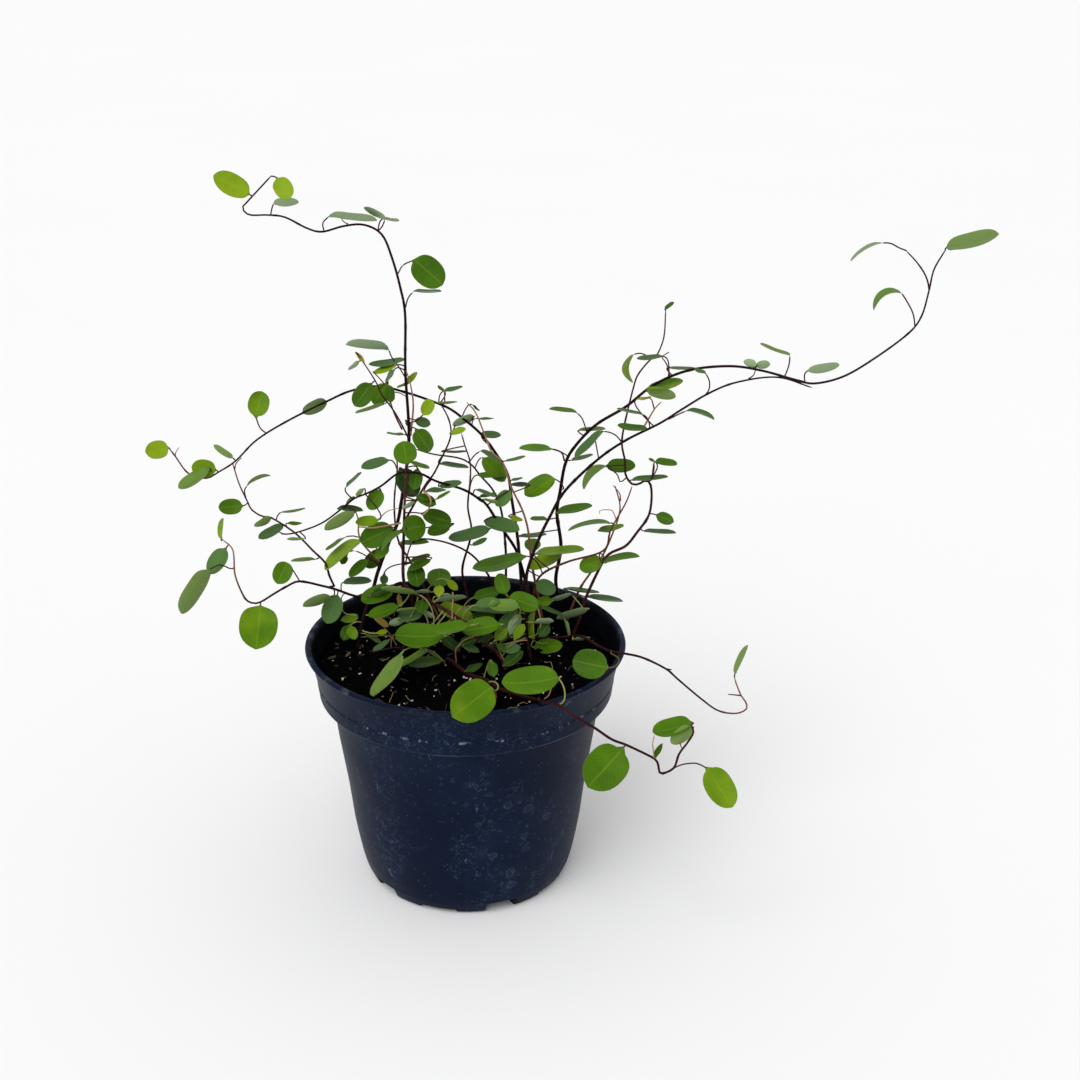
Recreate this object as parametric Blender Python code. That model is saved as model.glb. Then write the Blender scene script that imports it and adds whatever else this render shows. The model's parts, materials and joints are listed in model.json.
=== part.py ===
"""Angel vine (a small-leaved wire vine) growing in a round nursery pot, as separate closed solids.

The model is in metres with +Z up. The origin is the middle of the pot's underside, on the surface that
the pot stands on. Sizes are written in millimetres, as a grower would state them, and MM turns them into
metres where a mesh is made.

The shoots are laid out as on an upright drawing board: the plane y = 0, seen from EYE. A point drawn at
(x, z) on the board and pushed back to depth y slides along its line of sight, so the front view stays as
it is drawn and every shoot can be given its own depth.
"""

import bpy
import numpy as np
from math import acos, cos, radians, sin
from mathutils import Vector

MM = 0.001

# ---- driving dimensions, in millimetres ----
POT_RIM_RADIUS = 60.0
POT_HEIGHT = 96.0
POT_BASE_RADIUS = 36.7
POT_WALL = 1.2
POT_SIDES = 40
BAND_BOTTOM = 77.4
BAND_FOOT_RADIUS = 55.0
BAND_TOP_RADIUS = 58.2
BEAD_HEIGHT = 1.6
BODY_TOP_RADIUS = 50.7
FLOOR_UNDERSIDE = 5.0
FLOOR_TOP = 6.4
FLOOR_EDGE_RADIUS = 38.0
FOOT_RING_INNER_RADIUS = 30.6
BOSS_RADIUS = 9.0
DRAFT = 0.6
SLOT_COUNT = 10
# Low wide slots and tall narrow ones take turns round the foot.
SLOT_HEIGHTS = (1.8, 4.8)
SLOT_WIDTHS_DEGREES = (20.0, 16.0)
SLOT_FIRST_DEGREES = -15.0
SLOT_INNER_RADIUS = 29.0
SLOT_OUTER_RADIUS = 46.0
DRAIN_COUNT = 5
DRAIN_RADIUS = 3.0
DRAIN_CIRCLE_RADIUS = 20.0
DRAIN_SIDES = 10
SOIL_TOP = 88.0
GAP = 0.3
STEM_SIDES = 5
STEM_STEP = 6.0
DEPTH_STEP = 5.0
DEPTH_KNOT_SPACING = 100.0
CURVE_PARTS = 8
PETIOLE_RADIUS = 0.4
PETIOLE_BEND = 0.4
BLADE_CURL = 0.05
BLADE_THICKNESS = 0.5
LONGEST_BLADE_RATIO = 1.45
ROUNDEST_BLADE_RATIO = 1.25
CREASE_DEGREES = 40
EYE = Vector((27.5, -576.0, 371.3))
# The tapering wall outside: (radius, height) from the foot up to the step under the rim band.
POT_BODY = [
    (38.2, 0.8), (39.0, 2.6), (40.1, 5), (41.4, 10), (42.9, 18), (44.0, 25), (45.7, 40), (48.7, 60),
    (BODY_TOP_RADIUS, 76),
]
# The part of POT_BODY that the inner wall follows, from above the floor to below the band.
INNER_SPAN = slice(3, -1)
# Share of the full width at each share of the blade's length, from the stalk to the tip.
BLADE_OUTLINE = [(0.03, 0.34), (0.16, 0.78), (0.45, 1.0), (0.76, 0.86), (0.94, 0.5), (1.02, 0.08)]

# ---- the shoots ----
# Each shoot has its radius at the root and at the tip, its depths spread evenly along its length, and its
# route on the drawing board from root to tip. A shoot that springs from another names it as its parent.
SHOOTS = {
    "tall_left": {
        "radii": (0.8, 0.35),
        "depths": (10.5, 18, 24, 28, 24, 16, 10),
        "route": [
            (-40.5, 93), (-38.7, 102), (-34.3, 115.6), (-32.1, 123.3), (-27.9, 134.5), (-24.5, 142.5),
            (-22.2, 155.2), (-19.6, 174.5), (-20.3, 200), (-19.9, 220), (-21.4, 230), (-23.9, 240),
            (-27.2, 248.2), (-33.2, 251.5), (-40.2, 251), (-47.5, 249), (-52.7, 250.2), (-60, 253.9),
            (-66, 254.6), (-72, 254.6), (-74.2, 256.9), (-72.1, 259.4), (-64, 267.7),
        ],
    },
    "left_arch": {
        "radii": (0.7, 0.35),
        "depths": (32, 44, 44, 34, 14, -4, -12),
        "route": [
            (21.5, 103), (21, 114), (19.5, 135), (17, 153), (15.7, 161.5), (11.6, 169.3), (6.3, 176.6),
            (1.3, 181.3), (-4.9, 186.2), (-12.4, 189.4), (-19.7, 191.9), (-29.8, 194.3), (-39.8, 192.5),
            (-48.7, 188.4), (-62.3, 181.4), (-74, 174), (-82, 166), (-88.4, 161.7), (-93.2, 159.2),
            (-99.4, 161), (-103.5, 167.3), (-104.4, 168.8),
        ],
    },
    "middle_arch": {
        "radii": (0.7, 0.35),
        "depths": (19, 24, 14, -2, -12, -20),
        "route": [
            (25, 97), (23.2, 115.8), (21.8, 121.4), (19.8, 129), (18, 133.6), (13.3, 141), (8.3, 149.4),
            (5.6, 151.8), (-0.3, 155.6), (-10, 158.7), (-15.4, 161.5), (-20, 162), (-24.1, 161.5),
            (-29.7, 157), (-34.5, 154.2), (-40, 151.8), (-44.3, 148.1), (-52.2, 142.1), (-61.4, 138.4),
            (-66.2, 137.7), (-68, 138.7),
        ],
    },
    "left_low": {
        "radii": (0.75, 0.35),
        "depths": (28, 27, 14, 0, -8, -14),
        "route": [
            (-19.3, 101.5), (-19.4, 108), (-20.5, 114), (-22.5, 118.3), (-25.6, 118), (-30.6, 114.2),
            (-34.9, 112.8), (-40.6, 113), (-47.9, 115.7), (-53.2, 117.2), (-61.3, 118.9), (-66, 116.9),
            (-71, 113.8), (-76.8, 110.1), (-80.4, 110.4), (-82.4, 112.9), (-85, 121.3), (-85.2, 131.2),
            (-88.8, 135.4),
        ],
    },
    "left_middle": {
        "parent": "left_low",
        "radii": (0.5, 0.35),
        "depths": (8, 12, 20, 22),
        "route": [
            (-47.9, 115.7), (-50.1, 121), (-51.5, 126.4), (-55.6, 131), (-62.1, 138.2), (-70.3, 144),
            (-73.9, 144.7), (-77.4, 147.2), (-78.8, 150.5), (-81.3, 157), (-83.3, 165.3),
        ],
    },
    "back_arch": {
        "radii": (0.65, 0.35),
        "depths": (34, 40, 36, 30, 20),
        "route": [
            (15.5, 104), (15, 118), (15, 131), (13.5, 146.7), (10.5, 155.2), (6, 160.8), (2.5, 165.3),
            (-2, 167.7), (-10.7, 169), (-17, 170.8),
        ],
    },
    "tan_riser": {
        "radii": (0.6, 0.35),
        "depths": (36, 28, 22, 24, 30),
        "route": [
            (28.5, 105), (24.5, 127), (23.2, 139.5), (21, 147.8), (17, 156.6), (14, 165.7), (9.9, 170.2),
            (7.4, 176.8), (4.3, 184.8), (1.2, 188.6),
        ],
    },
    "front_diagonal": {
        "radii": (1.0, 0.5),
        "depths": (-8, -1, 5, 6, 2, -2),
        "route": [
            (15, 84.3), (12.6, 89.5), (8.7, 93.2), (4.3, 96.4), (0.2, 102), (-5.6, 106.3), (-12.3, 110.8),
            (-16, 112.8), (-20.3, 115.4), (-22.7, 119), (-22.8, 129), (-22.3, 138), (-21.6, 152),
            (-20.6, 163.9),
        ],
    },
    "low_arch": {
        "radii": (0.6, 0.35),
        "depths": (36, 26, 14, 4),
        "route": [
            (10, 105), (10, 118), (5, 127.3), (-1, 132.4), (-9.8, 135.6), (-18.4, 135.6), (-21.5, 128.5),
            (-21.7, 125.5),
        ],
    },
    "back_riser": {
        "radii": (0.6, 0.35),
        "depths": (42, 36, 27, 24),
        "route": [
            (2, 107), (1.1, 111.9), (0, 117), (-1, 125), (2.4, 138.7), (1.2, 149), (2.2, 160),
            (2.1, 166.5), (0.4, 172.3), (-0.8, 176.9),
        ],
    },
    "red_shoot": {
        "parent": "front_diagonal",
        "radii": (0.5, 0.35),
        "depths": (2, 8, 16, 18),
        "route": [
            (-22, 143), (-14.7, 156.2), (-11, 161.5), (-8, 167.7), (-4.7, 175.7), (-5.2, 182),
            (-8.1, 188.1),
        ],
    },
    "inner_left": {
        "radii": (0.6, 0.35),
        "depths": (28, 24, 15, 12),
        "route": [
            (-9.7, 101.5), (-12.3, 109.5), (-16, 118), (-20, 127), (-24.5, 136), (-25.5, 150),
            (-24, 164), (-24.9, 170),
        ],
    },
    "upper_left": {
        "parent": "tall_left",
        "radii": (0.5, 0.35),
        "depths": (24, 14, 6),
        "route": [(-19.7, 175), (-24, 184), (-29, 191.5), (-31, 196.3), (-36.8, 206)],
    },
    "right_upper": {
        "radii": (0.75, 0.35),
        "depths": (41, 40, 30, 14, -4, -18, -26),
        "route": [
            (35.5, 107), (33.9, 115.6), (33.5, 122), (35.2, 133.6), (33.6, 146.6), (34.7, 155.5),
            (36.5, 166.2), (40.2, 173), (47.4, 180.8), (57.6, 187.4), (67.3, 195.6), (79.5, 201),
            (93.8, 202.6), (105.3, 201), (117, 197.8), (123.8, 196.5), (133.3, 198.9), (142.6, 204.6),
            (154.6, 214.2), (159.2, 220.7), (161.1, 230.2), (162.1, 237.5), (164.4, 242.6),
        ],
    },
    "right_lower": {
        "radii": (0.75, 0.35),
        "depths": (-2, 8, 10, 6, 1, -2),
        "route": [
            (24.4, 87.2), (22.6, 100), (22.7, 114), (22.8, 123), (26.5, 135), (31, 145.3), (36.5, 155.5),
            (47.7, 167.2), (57.8, 174.8), (69.8, 181.3), (77.5, 186.6), (87.1, 192.8), (96.7, 196.8),
            (110.5, 198.7), (123, 195),
        ],
    },
    "right_tip": {
        "parent": "right_upper",
        "radii": (0.4, 0.35),
        "depths": (-22, -16),
        "route": [(161.2, 231), (159.3, 235.6), (156, 240), (152, 244)],
    },
    "right_hook": {
        "radii": (0.7, 0.35),
        "depths": (20, 24, 16, 18, 26),
        "route": [
            (40.3, 98), (42.6, 104.7), (44.3, 112), (48.6, 123), (52.5, 130.4), (58.9, 134),
            (62.9, 139.4), (66.8, 145.6), (67.8, 152), (67.3, 157.9), (65.5, 159.6), (62.7, 158.1),
            (60.2, 158.5), (58.1, 162), (57.8, 167.1), (56.5, 173.8), (57.5, 182), (60.2, 195),
            (61.7, 199.5), (65.5, 204.5), (68, 206.5), (70.2, 213), (70.5, 222.5),
        ],
    },
    "right_low": {
        "radii": (0.6, 0.35),
        "depths": (25, 16, 6, 0),
        "route": [
            (27.5, 99.5), (26.2, 110), (25.3, 115.2), (26.7, 120.2), (30, 123.8), (38.4, 127.8),
            (50.8, 132.1), (53.3, 140.3), (58.5, 150.9), (60.6, 157.3),
        ],
    },
    "right_back": {
        "radii": (0.6, 0.35),
        "depths": (35, 40, 44),
        "route": [
            (38, 104), (39.5, 109), (42.5, 117), (45.8, 122.5), (50, 129), (53.7, 138), (56.5, 148.5),
            (54.5, 157.5),
        ],
    },
    "right_trailer": {
        "radii": (0.7, 0.35),
        "depths": (9, 13, -14, -20, -23, -26),
        "route": [
            (11, 92.5), (14, 95), (16.1, 95.9), (21.4, 96.4), (29.2, 96.4), (35.8, 96.7), (42.8, 97.4),
            (48.9, 93.8), (52.3, 91.9), (56.2, 90.7), (59.9, 90.2), (66.7, 88.5), (75.5, 83.9),
            (79.9, 79.8), (89.1, 71.5), (95.9, 66.4), (102.5, 65.2), (106.5, 66.9), (106.5, 69.6),
            (104.2, 73.2), (102.1, 78.4), (101.5, 80.5),
        ],
    },
    "front_trailer": {
        "radii": (0.8, 0.4),
        "depths": (-4, -33, -59, -60, -62, -60),
        "route": [
            (-8.3, 88), (-5.5, 86.5), (-1.4, 82.8), (3, 80.2), (7.3, 78.9), (12.6, 75), (21.5, 71.9),
            (29.5, 69.6), (34, 68.7), (36.6, 67.1), (42.4, 62.6), (49, 58.5), (55.6, 53.6),
            (61.1, 51.3), (69.4, 47), (72.7, 44.9), (73.8, 42.8), (74.5, 39.2), (75.9, 38.8),
            (80, 41.3), (81.7, 47.3), (84.6, 52.1), (86.9, 56.7), (86, 60),
        ],
    },
}

# ---- the larger leaves ----
# Each leaf names the shoot that bears it, where its stalk meets the blade and where the blade's tip is on
# the drawing board, the width that the board shows, and 1 if it shows its upper face or -1 its underside.
# The next number moves the blade nearer the eye than its shoot. A last one, where there is one, leans the
# tip that much nearer the eye than the blade's foot.
LEAVES = {
    "leaf_top_tip": ("tall_left", (-71.9, 261.7), (-83.2, 267.8), 7.6, 1, 2),
    "leaf_top_second": ("tall_left", (-61.9, 266.9), (-58, 260.3), 6.5, 1, 1),
    "leaf_top_third": ("tall_left", (-63.5, 258.8), (-55.1, 259), 3, -1, 4),
    "leaf_top_long": ("tall_left", (-44.8, 254.5), (-28.9, 252.9), 2.8, -1, 2),
    "leaf_top_round": ("tall_left", (-16.2, 239.6), (-6.8, 231), 10.4, 1, 2),
    "leaf_upper_long": ("tall_left", (-26, 208), (-40.7, 209.3), 3.2, -1, -4),
    "leaf_upper_second": ("upper_left", (-32.5, 195), (-38.5, 187), 7, 1, 3),
    "leaf_upper_third": ("upper_left", (-27, 194.8), (-31.8, 187.8), 6.4, 1, -8),
    "leaf_far_left": ("left_arch", (-106, 170.7), (-114.2, 169.2), 6.4, 1, 1),
    "leaf_arch_upright": ("left_arch", (-74, 183), (-71.2, 192), 7.5, 1, 2),
    "leaf_arch_bright": ("left_arch", (-89.6, 162.4), (-97.2, 163.8), 6.2, 1, 2),
    "leaf_low_round": ("left_low", (-76.3, 108), (-79, 91.3), 14, 1, 3),
    "leaf_low_side": ("left_low", (-88, 131.5), (-94.4, 121.8), 6.2, 1, -4),
    "leaf_low_hanging": ("left_low", (-94.2, 123.3), (-105.7, 105.7), 6.5, -1, 5),
    "leaf_rim_left": ("left_low", (-47.6, 113.2), (-51.9, 102), 7.5, 1, 3),
    "leaf_rim_left_second": ("left_low", (-50, 112.6), (-60, 109), 4, 1, 6),
    "leaf_left_middle": ("left_middle", (-80.8, 148.6), (-89.3, 148), 6, 1, 2),
    "leaf_middle_dark": ("middle_arch", (-27.5, 166.6), (-36.9, 163.7), 3.6, 1, 3),
    "leaf_middle_pale": ("middle_arch", (-40.4, 146), (-51, 139.6), 4.2, -1, 4),
    "leaf_glossy": ("front_diagonal", (-20.6, 165.4), (-21.6, 173.8), 8.4, 1, 2),
    "leaf_centre_big": ("front_diagonal", (-22.5, 139.8), (-14.4, 141.5), 9.4, 1, 7),
    "leaf_front_big": ("front_trailer", (9.6, 75.4), (-4.6, 62.5), 14.5, 1, 21, 9),
    "leaf_front_oval": ("front_trailer", (34.6, 79.9), (13.7, 77.6), 9.5, 1, 1),
    "leaf_front_small": ("front_trailer", (-25.2, 88.6), (-35, 71.8), 5.5, 1, 16, 9),
    "leaf_soil_right": ("right_trailer", (53, 84.3), (40.3, 87.3), 10.5, 1, 22),
    "leaf_soil_left": ("front_diagonal", (-9.2, 97), (-26.4, 97.2), 9, 1, 16),
    "leaf_trailer_oval": ("front_trailer", (59.5, 48.6), (46.8, 32.2), 15, 1, 2),
    "leaf_trailer_low": ("front_trailer", (93.4, 40.9), (103.3, 24.2), 9.8, 1, 2),
    "leaf_trailer_end": ("front_trailer", (85.8, 61), (71.4, 57), 6.5, 1, -4),
    "leaf_trailer_tip": ("right_trailer", (101.6, 82.4), (105.5, 94), 2.6, -1, 0),
    "leaf_right_hook": ("right_hook", (51.5, 165), (61.5, 165.2), 5.3, 1, -5),
    "leaf_right_side": ("right_hook", (70, 146.2), (76, 143.6), 4.5, 1, 1),
    "leaf_right_pair": ("right_upper", (66.8, 192.4), (75.5, 191.4), 4, 1, 3),
    "leaf_right_cupped": ("right_upper", (151.5, 229.5), (142.6, 223.3), 3.6, 1, 4),
    "leaf_right_small": ("right_upper", (121.5, 201.2), (132, 203.4), 3.2, 1, 2),
    "leaf_far_right": ("right_upper", (165.8, 245.1), (182.6, 250), 5.6, -1, 1),
}

for leftover in list(bpy.data.objects):
    bpy.data.objects.remove(leftover, do_unlink=True)


def finish_material(name, colour, roughness):
    """A plain Principled material: colour is linear red, green and blue."""
    material = bpy.data.materials.new(name)
    material.use_nodes = True
    shader = material.node_tree.nodes["Principled BSDF"]
    shader.inputs["Base Color"].default_value = (*colour, 1.0)
    shader.inputs["Roughness"].default_value = roughness
    shader.inputs["Metallic"].default_value = 0.0
    return material


POT_PLASTIC = finish_material("pot_plastic", (0.018, 0.026, 0.045), 0.5)
POTTING_MIX = finish_material("potting_mix", (0.012, 0.010, 0.009), 0.95)
STEM_BARK = finish_material("stem_bark", (0.055, 0.018, 0.018), 0.6)
LEAF_SKIN = finish_material("leaf_skin", (0.10, 0.23, 0.03), 0.5)


def solid(name, points, faces, material, smooth=True):
    """An object from points in millimetres. Its faces are turned to point outwards."""
    mesh = bpy.data.meshes.new(name)
    mesh.from_pydata([tuple(np.asarray(p, float) * MM) for p in points], [], faces)
    corners = np.array([p for p in points], float)
    volume = 0.0
    for face in faces:
        a = corners[face[0]]
        for i in range(1, len(face) - 1):
            volume += np.dot(a, np.cross(corners[face[i]], corners[face[i + 1]]))
    if volume < 0:
        mesh.flip_normals()
    mesh.materials.append(material)
    if smooth:
        mesh.shade_smooth()
        mesh.set_sharp_from_angle(angle=radians(CREASE_DEGREES))
    piece = bpy.data.objects.new(name, mesh)
    bpy.context.scene.collection.objects.link(piece)
    return piece


def turned(name, profile, material, sides=POT_SIDES):
    """A turned solid: a profile of (radius, height), from the axis round its outside and back to the axis."""
    points = []
    rings = []
    for radius, height in profile:
        if radius == 0:
            rings.append([len(points)] * sides)
            points.append((0, 0, height))
            continue
        rings.append([len(points) + i for i in range(sides)])
        for i in range(sides):
            angle = 2 * np.pi * i / sides
            points.append((radius * np.cos(angle), radius * np.sin(angle), height))
    faces = []
    for low, high in zip(rings, rings[1:]):
        for i in range(sides):
            j = (i + 1) % sides
            corners = [low[i], low[j], high[j], high[i]]
            faces.append(list(dict.fromkeys(corners)))
    return solid(name, points, faces, material)


def lofted(name, rings, material):
    """A solid through rings of points, each with the same number of points, closed by flat ends."""
    count = len(rings[0])
    points = [p for ring in rings for p in ring]
    faces = [list(range(count))[::-1]]
    for start in range(0, len(points) - count, count):
        for i in range(count):
            j = (i + 1) % count
            faces.append([start + i, start + j, start + count + j, start + count + i])
    faces.append(list(range(len(points) - count, len(points))))
    return solid(name, points, faces, material)


# ---- the pot ----


def pot_cutter():
    """The slots through the foot ring and the drain holes through the floor, as one hidden cutter."""
    points = []
    faces = []

    def prism(outline, low, high):
        start = len(points)
        count = len(outline)
        points.extend((x, y, low) for x, y in outline)
        points.extend((x, y, high) for x, y in outline)
        faces.append([start + i for i in range(count)][::-1])
        faces.append([start + count + i for i in range(count)])
        for i in range(count):
            j = (i + 1) % count
            faces.append([start + i, start + j, start + count + j, start + count + i])

    for slot in range(SLOT_COUNT):
        middle = radians(SLOT_FIRST_DEGREES + slot * 360 / SLOT_COUNT - 90)
        half = radians(SLOT_WIDTHS_DEGREES[slot % 2] / 2)
        outline = [
            (radius * np.cos(middle + turn), radius * np.sin(middle + turn))
            for radius, turn in (
                (SLOT_INNER_RADIUS, -half),
                (SLOT_OUTER_RADIUS, -half),
                (SLOT_OUTER_RADIUS, half),
                (SLOT_INNER_RADIUS, half),
            )
        ]
        prism(outline, -1.0, SLOT_HEIGHTS[slot % 2])
    for drain in range(DRAIN_COUNT):
        angle = 2 * np.pi * (drain + 0.5) / DRAIN_COUNT
        centre = DRAIN_CIRCLE_RADIUS * np.array([np.cos(angle), np.sin(angle)])
        turns = [2 * np.pi * i / DRAIN_SIDES for i in range(DRAIN_SIDES)]
        outline = [centre + DRAIN_RADIUS * np.array([np.cos(t), np.sin(t)]) for t in turns]
        prism(outline, FLOOR_UNDERSIDE - 1, FLOOR_TOP + 1)
    cutter = solid("pot_cutter", points, faces, POT_PLASTIC, smooth=False)
    cutter.hide_render = True
    cutter.display_type = "WIRE"
    return cutter


pot_outline = [
    (0, 0),
    (BOSS_RADIUS, 0),
    (BOSS_RADIUS + DRAFT, FLOOR_UNDERSIDE),
    (FOOT_RING_INNER_RADIUS - DRAFT, FLOOR_UNDERSIDE),
    (FOOT_RING_INNER_RADIUS, 0),
    (POT_BASE_RADIUS, 0),
]
pot_outline += POT_BODY
pot_outline += [(BAND_FOOT_RADIUS, BAND_BOTTOM - 1.0), (BAND_FOOT_RADIUS + 0.2, BAND_BOTTOM)]
pot_outline += [
    (BAND_TOP_RADIUS, POT_HEIGHT - BEAD_HEIGHT - 0.4),
    (POT_RIM_RADIUS - 0.7, POT_HEIGHT - BEAD_HEIGHT),
    (POT_RIM_RADIUS, POT_HEIGHT - BEAD_HEIGHT / 2),
    (POT_RIM_RADIUS - 0.6, POT_HEIGHT),
    (BAND_TOP_RADIUS - 0.4, POT_HEIGHT),
    (BAND_TOP_RADIUS - POT_WALL, POT_HEIGHT - BEAD_HEIGHT),
]
pot_outline += [
    (BAND_FOOT_RADIUS - POT_WALL, BAND_BOTTOM + POT_WALL),
    (BODY_TOP_RADIUS - POT_WALL, BAND_BOTTOM + 0.2),
]
inner_wall = [(radius - POT_WALL, height) for radius, height in POT_BODY[INNER_SPAN]]
pot_outline += inner_wall[::-1]
pot_outline += [(FLOOR_EDGE_RADIUS + 1, FLOOR_TOP + 1.6), (FLOOR_EDGE_RADIUS, FLOOR_TOP), (0, FLOOR_TOP)]

pot = turned("pot", pot_outline, POT_PLASTIC)
slots = pot.modifiers.new("slots_and_drains", "BOOLEAN")
slots.operation = "DIFFERENCE"
slots.object = pot_cutter()

# ---- the potting mix, filling the pot to just under its rim band's lip ----

ROOM = POT_WALL + GAP + 0.1
STEP_ROOM = 1.9
soil_outline = [
    (0, FLOOR_TOP + GAP),
    (FLOOR_EDGE_RADIUS - 2 * GAP, FLOOR_TOP + GAP),
    (FLOOR_EDGE_RADIUS + 1 - 2 * GAP, FLOOR_TOP + STEP_ROOM + GAP),
]
soil_outline += [(radius - ROOM, height) for radius, height in POT_BODY[INNER_SPAN]]
soil_outline += [
    (BODY_TOP_RADIUS - ROOM, BAND_BOTTOM + 2 * GAP),
    (BAND_FOOT_RADIUS - ROOM, BAND_BOTTOM + STEP_ROOM),
]
band_lean = (BAND_TOP_RADIUS - BAND_FOOT_RADIUS) / (POT_HEIGHT - BAND_BOTTOM)
soil_edge = BAND_FOOT_RADIUS - ROOM + band_lean * (SOIL_TOP - BAND_BOTTOM - STEP_ROOM)
soil_outline += [(soil_edge - 0.2, SOIL_TOP - 0.8), (soil_edge - 1.4, SOIL_TOP), (0, SOIL_TOP)]
turned("potting_mix", soil_outline, POTTING_MIX)

# ---- the shoots ----


def placed(board_point, depth):
    """The point (x, z) of the drawing board, slid along its line of sight to the plane y = depth."""
    drawn = Vector((board_point[0], 0.0, board_point[1]))
    return EYE + (drawn - EYE) * (1 - depth / EYE.y)


def on_board(point):
    """Where the line of sight to a point crosses the drawing board."""
    share = -EYE.y / (point[1] - EYE.y)
    return (EYE.x + (point[0] - EYE.x) * share, EYE.z + (point[2] - EYE.z) * share)


def smooth_curve(knots, step):
    """Points every step or so along a Catmull-Rom curve through the knots."""
    ends = [2 * knots[0] - knots[1]] + list(knots) + [2 * knots[-1] - knots[-2]]
    dense = []
    for before, start, end, after in zip(ends, ends[1:], ends[2:], ends[3:]):
        for t in np.linspace(0, 1, CURVE_PARTS, endpoint=False):
            dense.append(
                0.5
                * (
                    2 * start
                    + (end - before) * t
                    + (2 * before - 5 * start + 4 * end - after) * t**2
                    + (3 * start - before - 3 * end + after) * t**3
                )
            )
    dense.append(knots[-1])
    dense = np.array(dense)
    run = np.concatenate([[0], np.cumsum(np.linalg.norm(np.diff(dense, axis=0), axis=1))])
    count = max(3, int(round(run[-1] / step)) + 1)
    places = np.linspace(0, run[-1], count)
    return np.stack([np.interp(places, run, dense[:, axis]) for axis in range(dense.shape[1])], axis=1)


def shoot_path(shoot):
    """The shoot's middle line: its drawn route, pushed back by its depths."""
    drawn = smooth_curve([np.array(point, float) for point in shoot["route"]], STEM_STEP)
    knots = [np.array([DEPTH_KNOT_SPACING * i, depth]) for i, depth in enumerate(shoot["depths"])]
    profile = smooth_curve(knots, DEPTH_STEP)
    along = np.linspace(0, profile[-1, 0], len(drawn))
    pushes = np.interp(along, profile[:, 0], profile[:, 1])
    return np.array([placed(point, push) for point, push in zip(drawn, pushes)])


def shoot_radii(shoot, count):
    root, tip = shoot["radii"]
    return np.linspace(root, tip, count).tolist()


def distance_to_path(point, path):
    """The shortest distance from a point to the straight stretches of a path."""
    starts = path[:-1]
    runs = path[1:] - starts
    share = np.clip(((point - starts) * runs).sum(axis=1) / (runs**2).sum(axis=1), 0, 1)
    return np.linalg.norm(starts + runs * share[:, None] - point, axis=1).min()


def beside_host(path, radii, host):
    """The path of a side shoot, its start drawn off to stand just clear of the shoot that bears it."""
    host_path, host_radii = host
    clear = max(host_radii) + radii[0] + 2 * GAP
    first = next(i for i, point in enumerate(path) if distance_to_path(point, host_path) > clear)
    return path[first:], radii[first:]


def tube_rings(path, radii, sides):
    """Rings square to the path, turned as little as possible from one to the next."""
    path = [Vector(p) for p in path]
    rings = []
    side = None
    for i, point in enumerate(path):
        ahead = path[min(i + 1, len(path) - 1)] - path[max(i - 1, 0)]
        ahead.normalize()
        if side is None:
            side = ahead.orthogonal().normalized()
        side = (side - side.dot(ahead) * ahead).normalized()
        other = ahead.cross(side)
        turns = [2 * np.pi * k / sides for k in range(sides)]
        rings.append([point + radii[i] * (cos(t) * side + sin(t) * other) for t in turns])
    return rings


paths = {}
for name, shoot in SHOOTS.items():
    path = shoot_path(shoot)
    radii = shoot_radii(shoot, len(path))
    if "parent" in shoot:
        path, radii = beside_host(path, radii, paths[shoot["parent"]])
    else:
        path[0, 2] = SOIL_TOP + GAP + radii[0]
    paths[name] = (path, radii)
    lofted("stem_" + name, tube_rings(path, radii, STEM_SIDES), STEM_BARK)

# ---- the leaves ----


def blade_axes(base, tip, width, face, lean):
    """The blade's lengthwise and sideways directions and its true length and width.

    The drawing shows the blade foreshortened. A blade is at least ROUNDEST_BLADE_RATIO times as long as
    it is wide, so one drawn shorter leans towards or away from the eye, and one drawn narrower than its
    length allows is rolled about its long axis. Of the ways to lean, it takes the one that faces the sky,
    unless its own lean towards the eye is given.
    """
    sight = ((base + tip) / 2 - EYE).normalized()
    drawn = (tip - base) - (tip - base).dot(sight) * sight
    shown = drawn.length
    length = max(shown, ROUNDEST_BLADE_RATIO * width)
    if lean:
        length = (shown**2 + lean**2) ** 0.5
    true_width = max(width, length / LONGEST_BLADE_RATIO)
    leans = (-lean,) if lean else (-((length**2 - shown**2) ** 0.5), (length**2 - shown**2) ** 0.5)
    roll = acos(width / true_width)
    level = sight.cross(drawn).normalized()
    best = None
    for away in leans:
        ahead = (drawn + away * sight).normalized()
        across = ahead.cross(level)
        for roll_side in (-1, 1):
            side = level * cos(roll) + across * sin(roll) * roll_side
            up = ahead.cross(side)
            if up.dot(-sight) * face < 0:
                up = -up
            if best is None or up.z > best[0]:
                best = (up.z, ahead, side, up)
    return best[1], best[2], best[3], length, true_width


def cross_ring(point, side, up, half_width, half_height):
    """Four points round a place on the leaf: at its two edges, and above and below its middle."""
    return [
        point + side * half_width,
        point + up * half_height,
        point - side * half_width,
        point - up * half_height,
    ]


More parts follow.
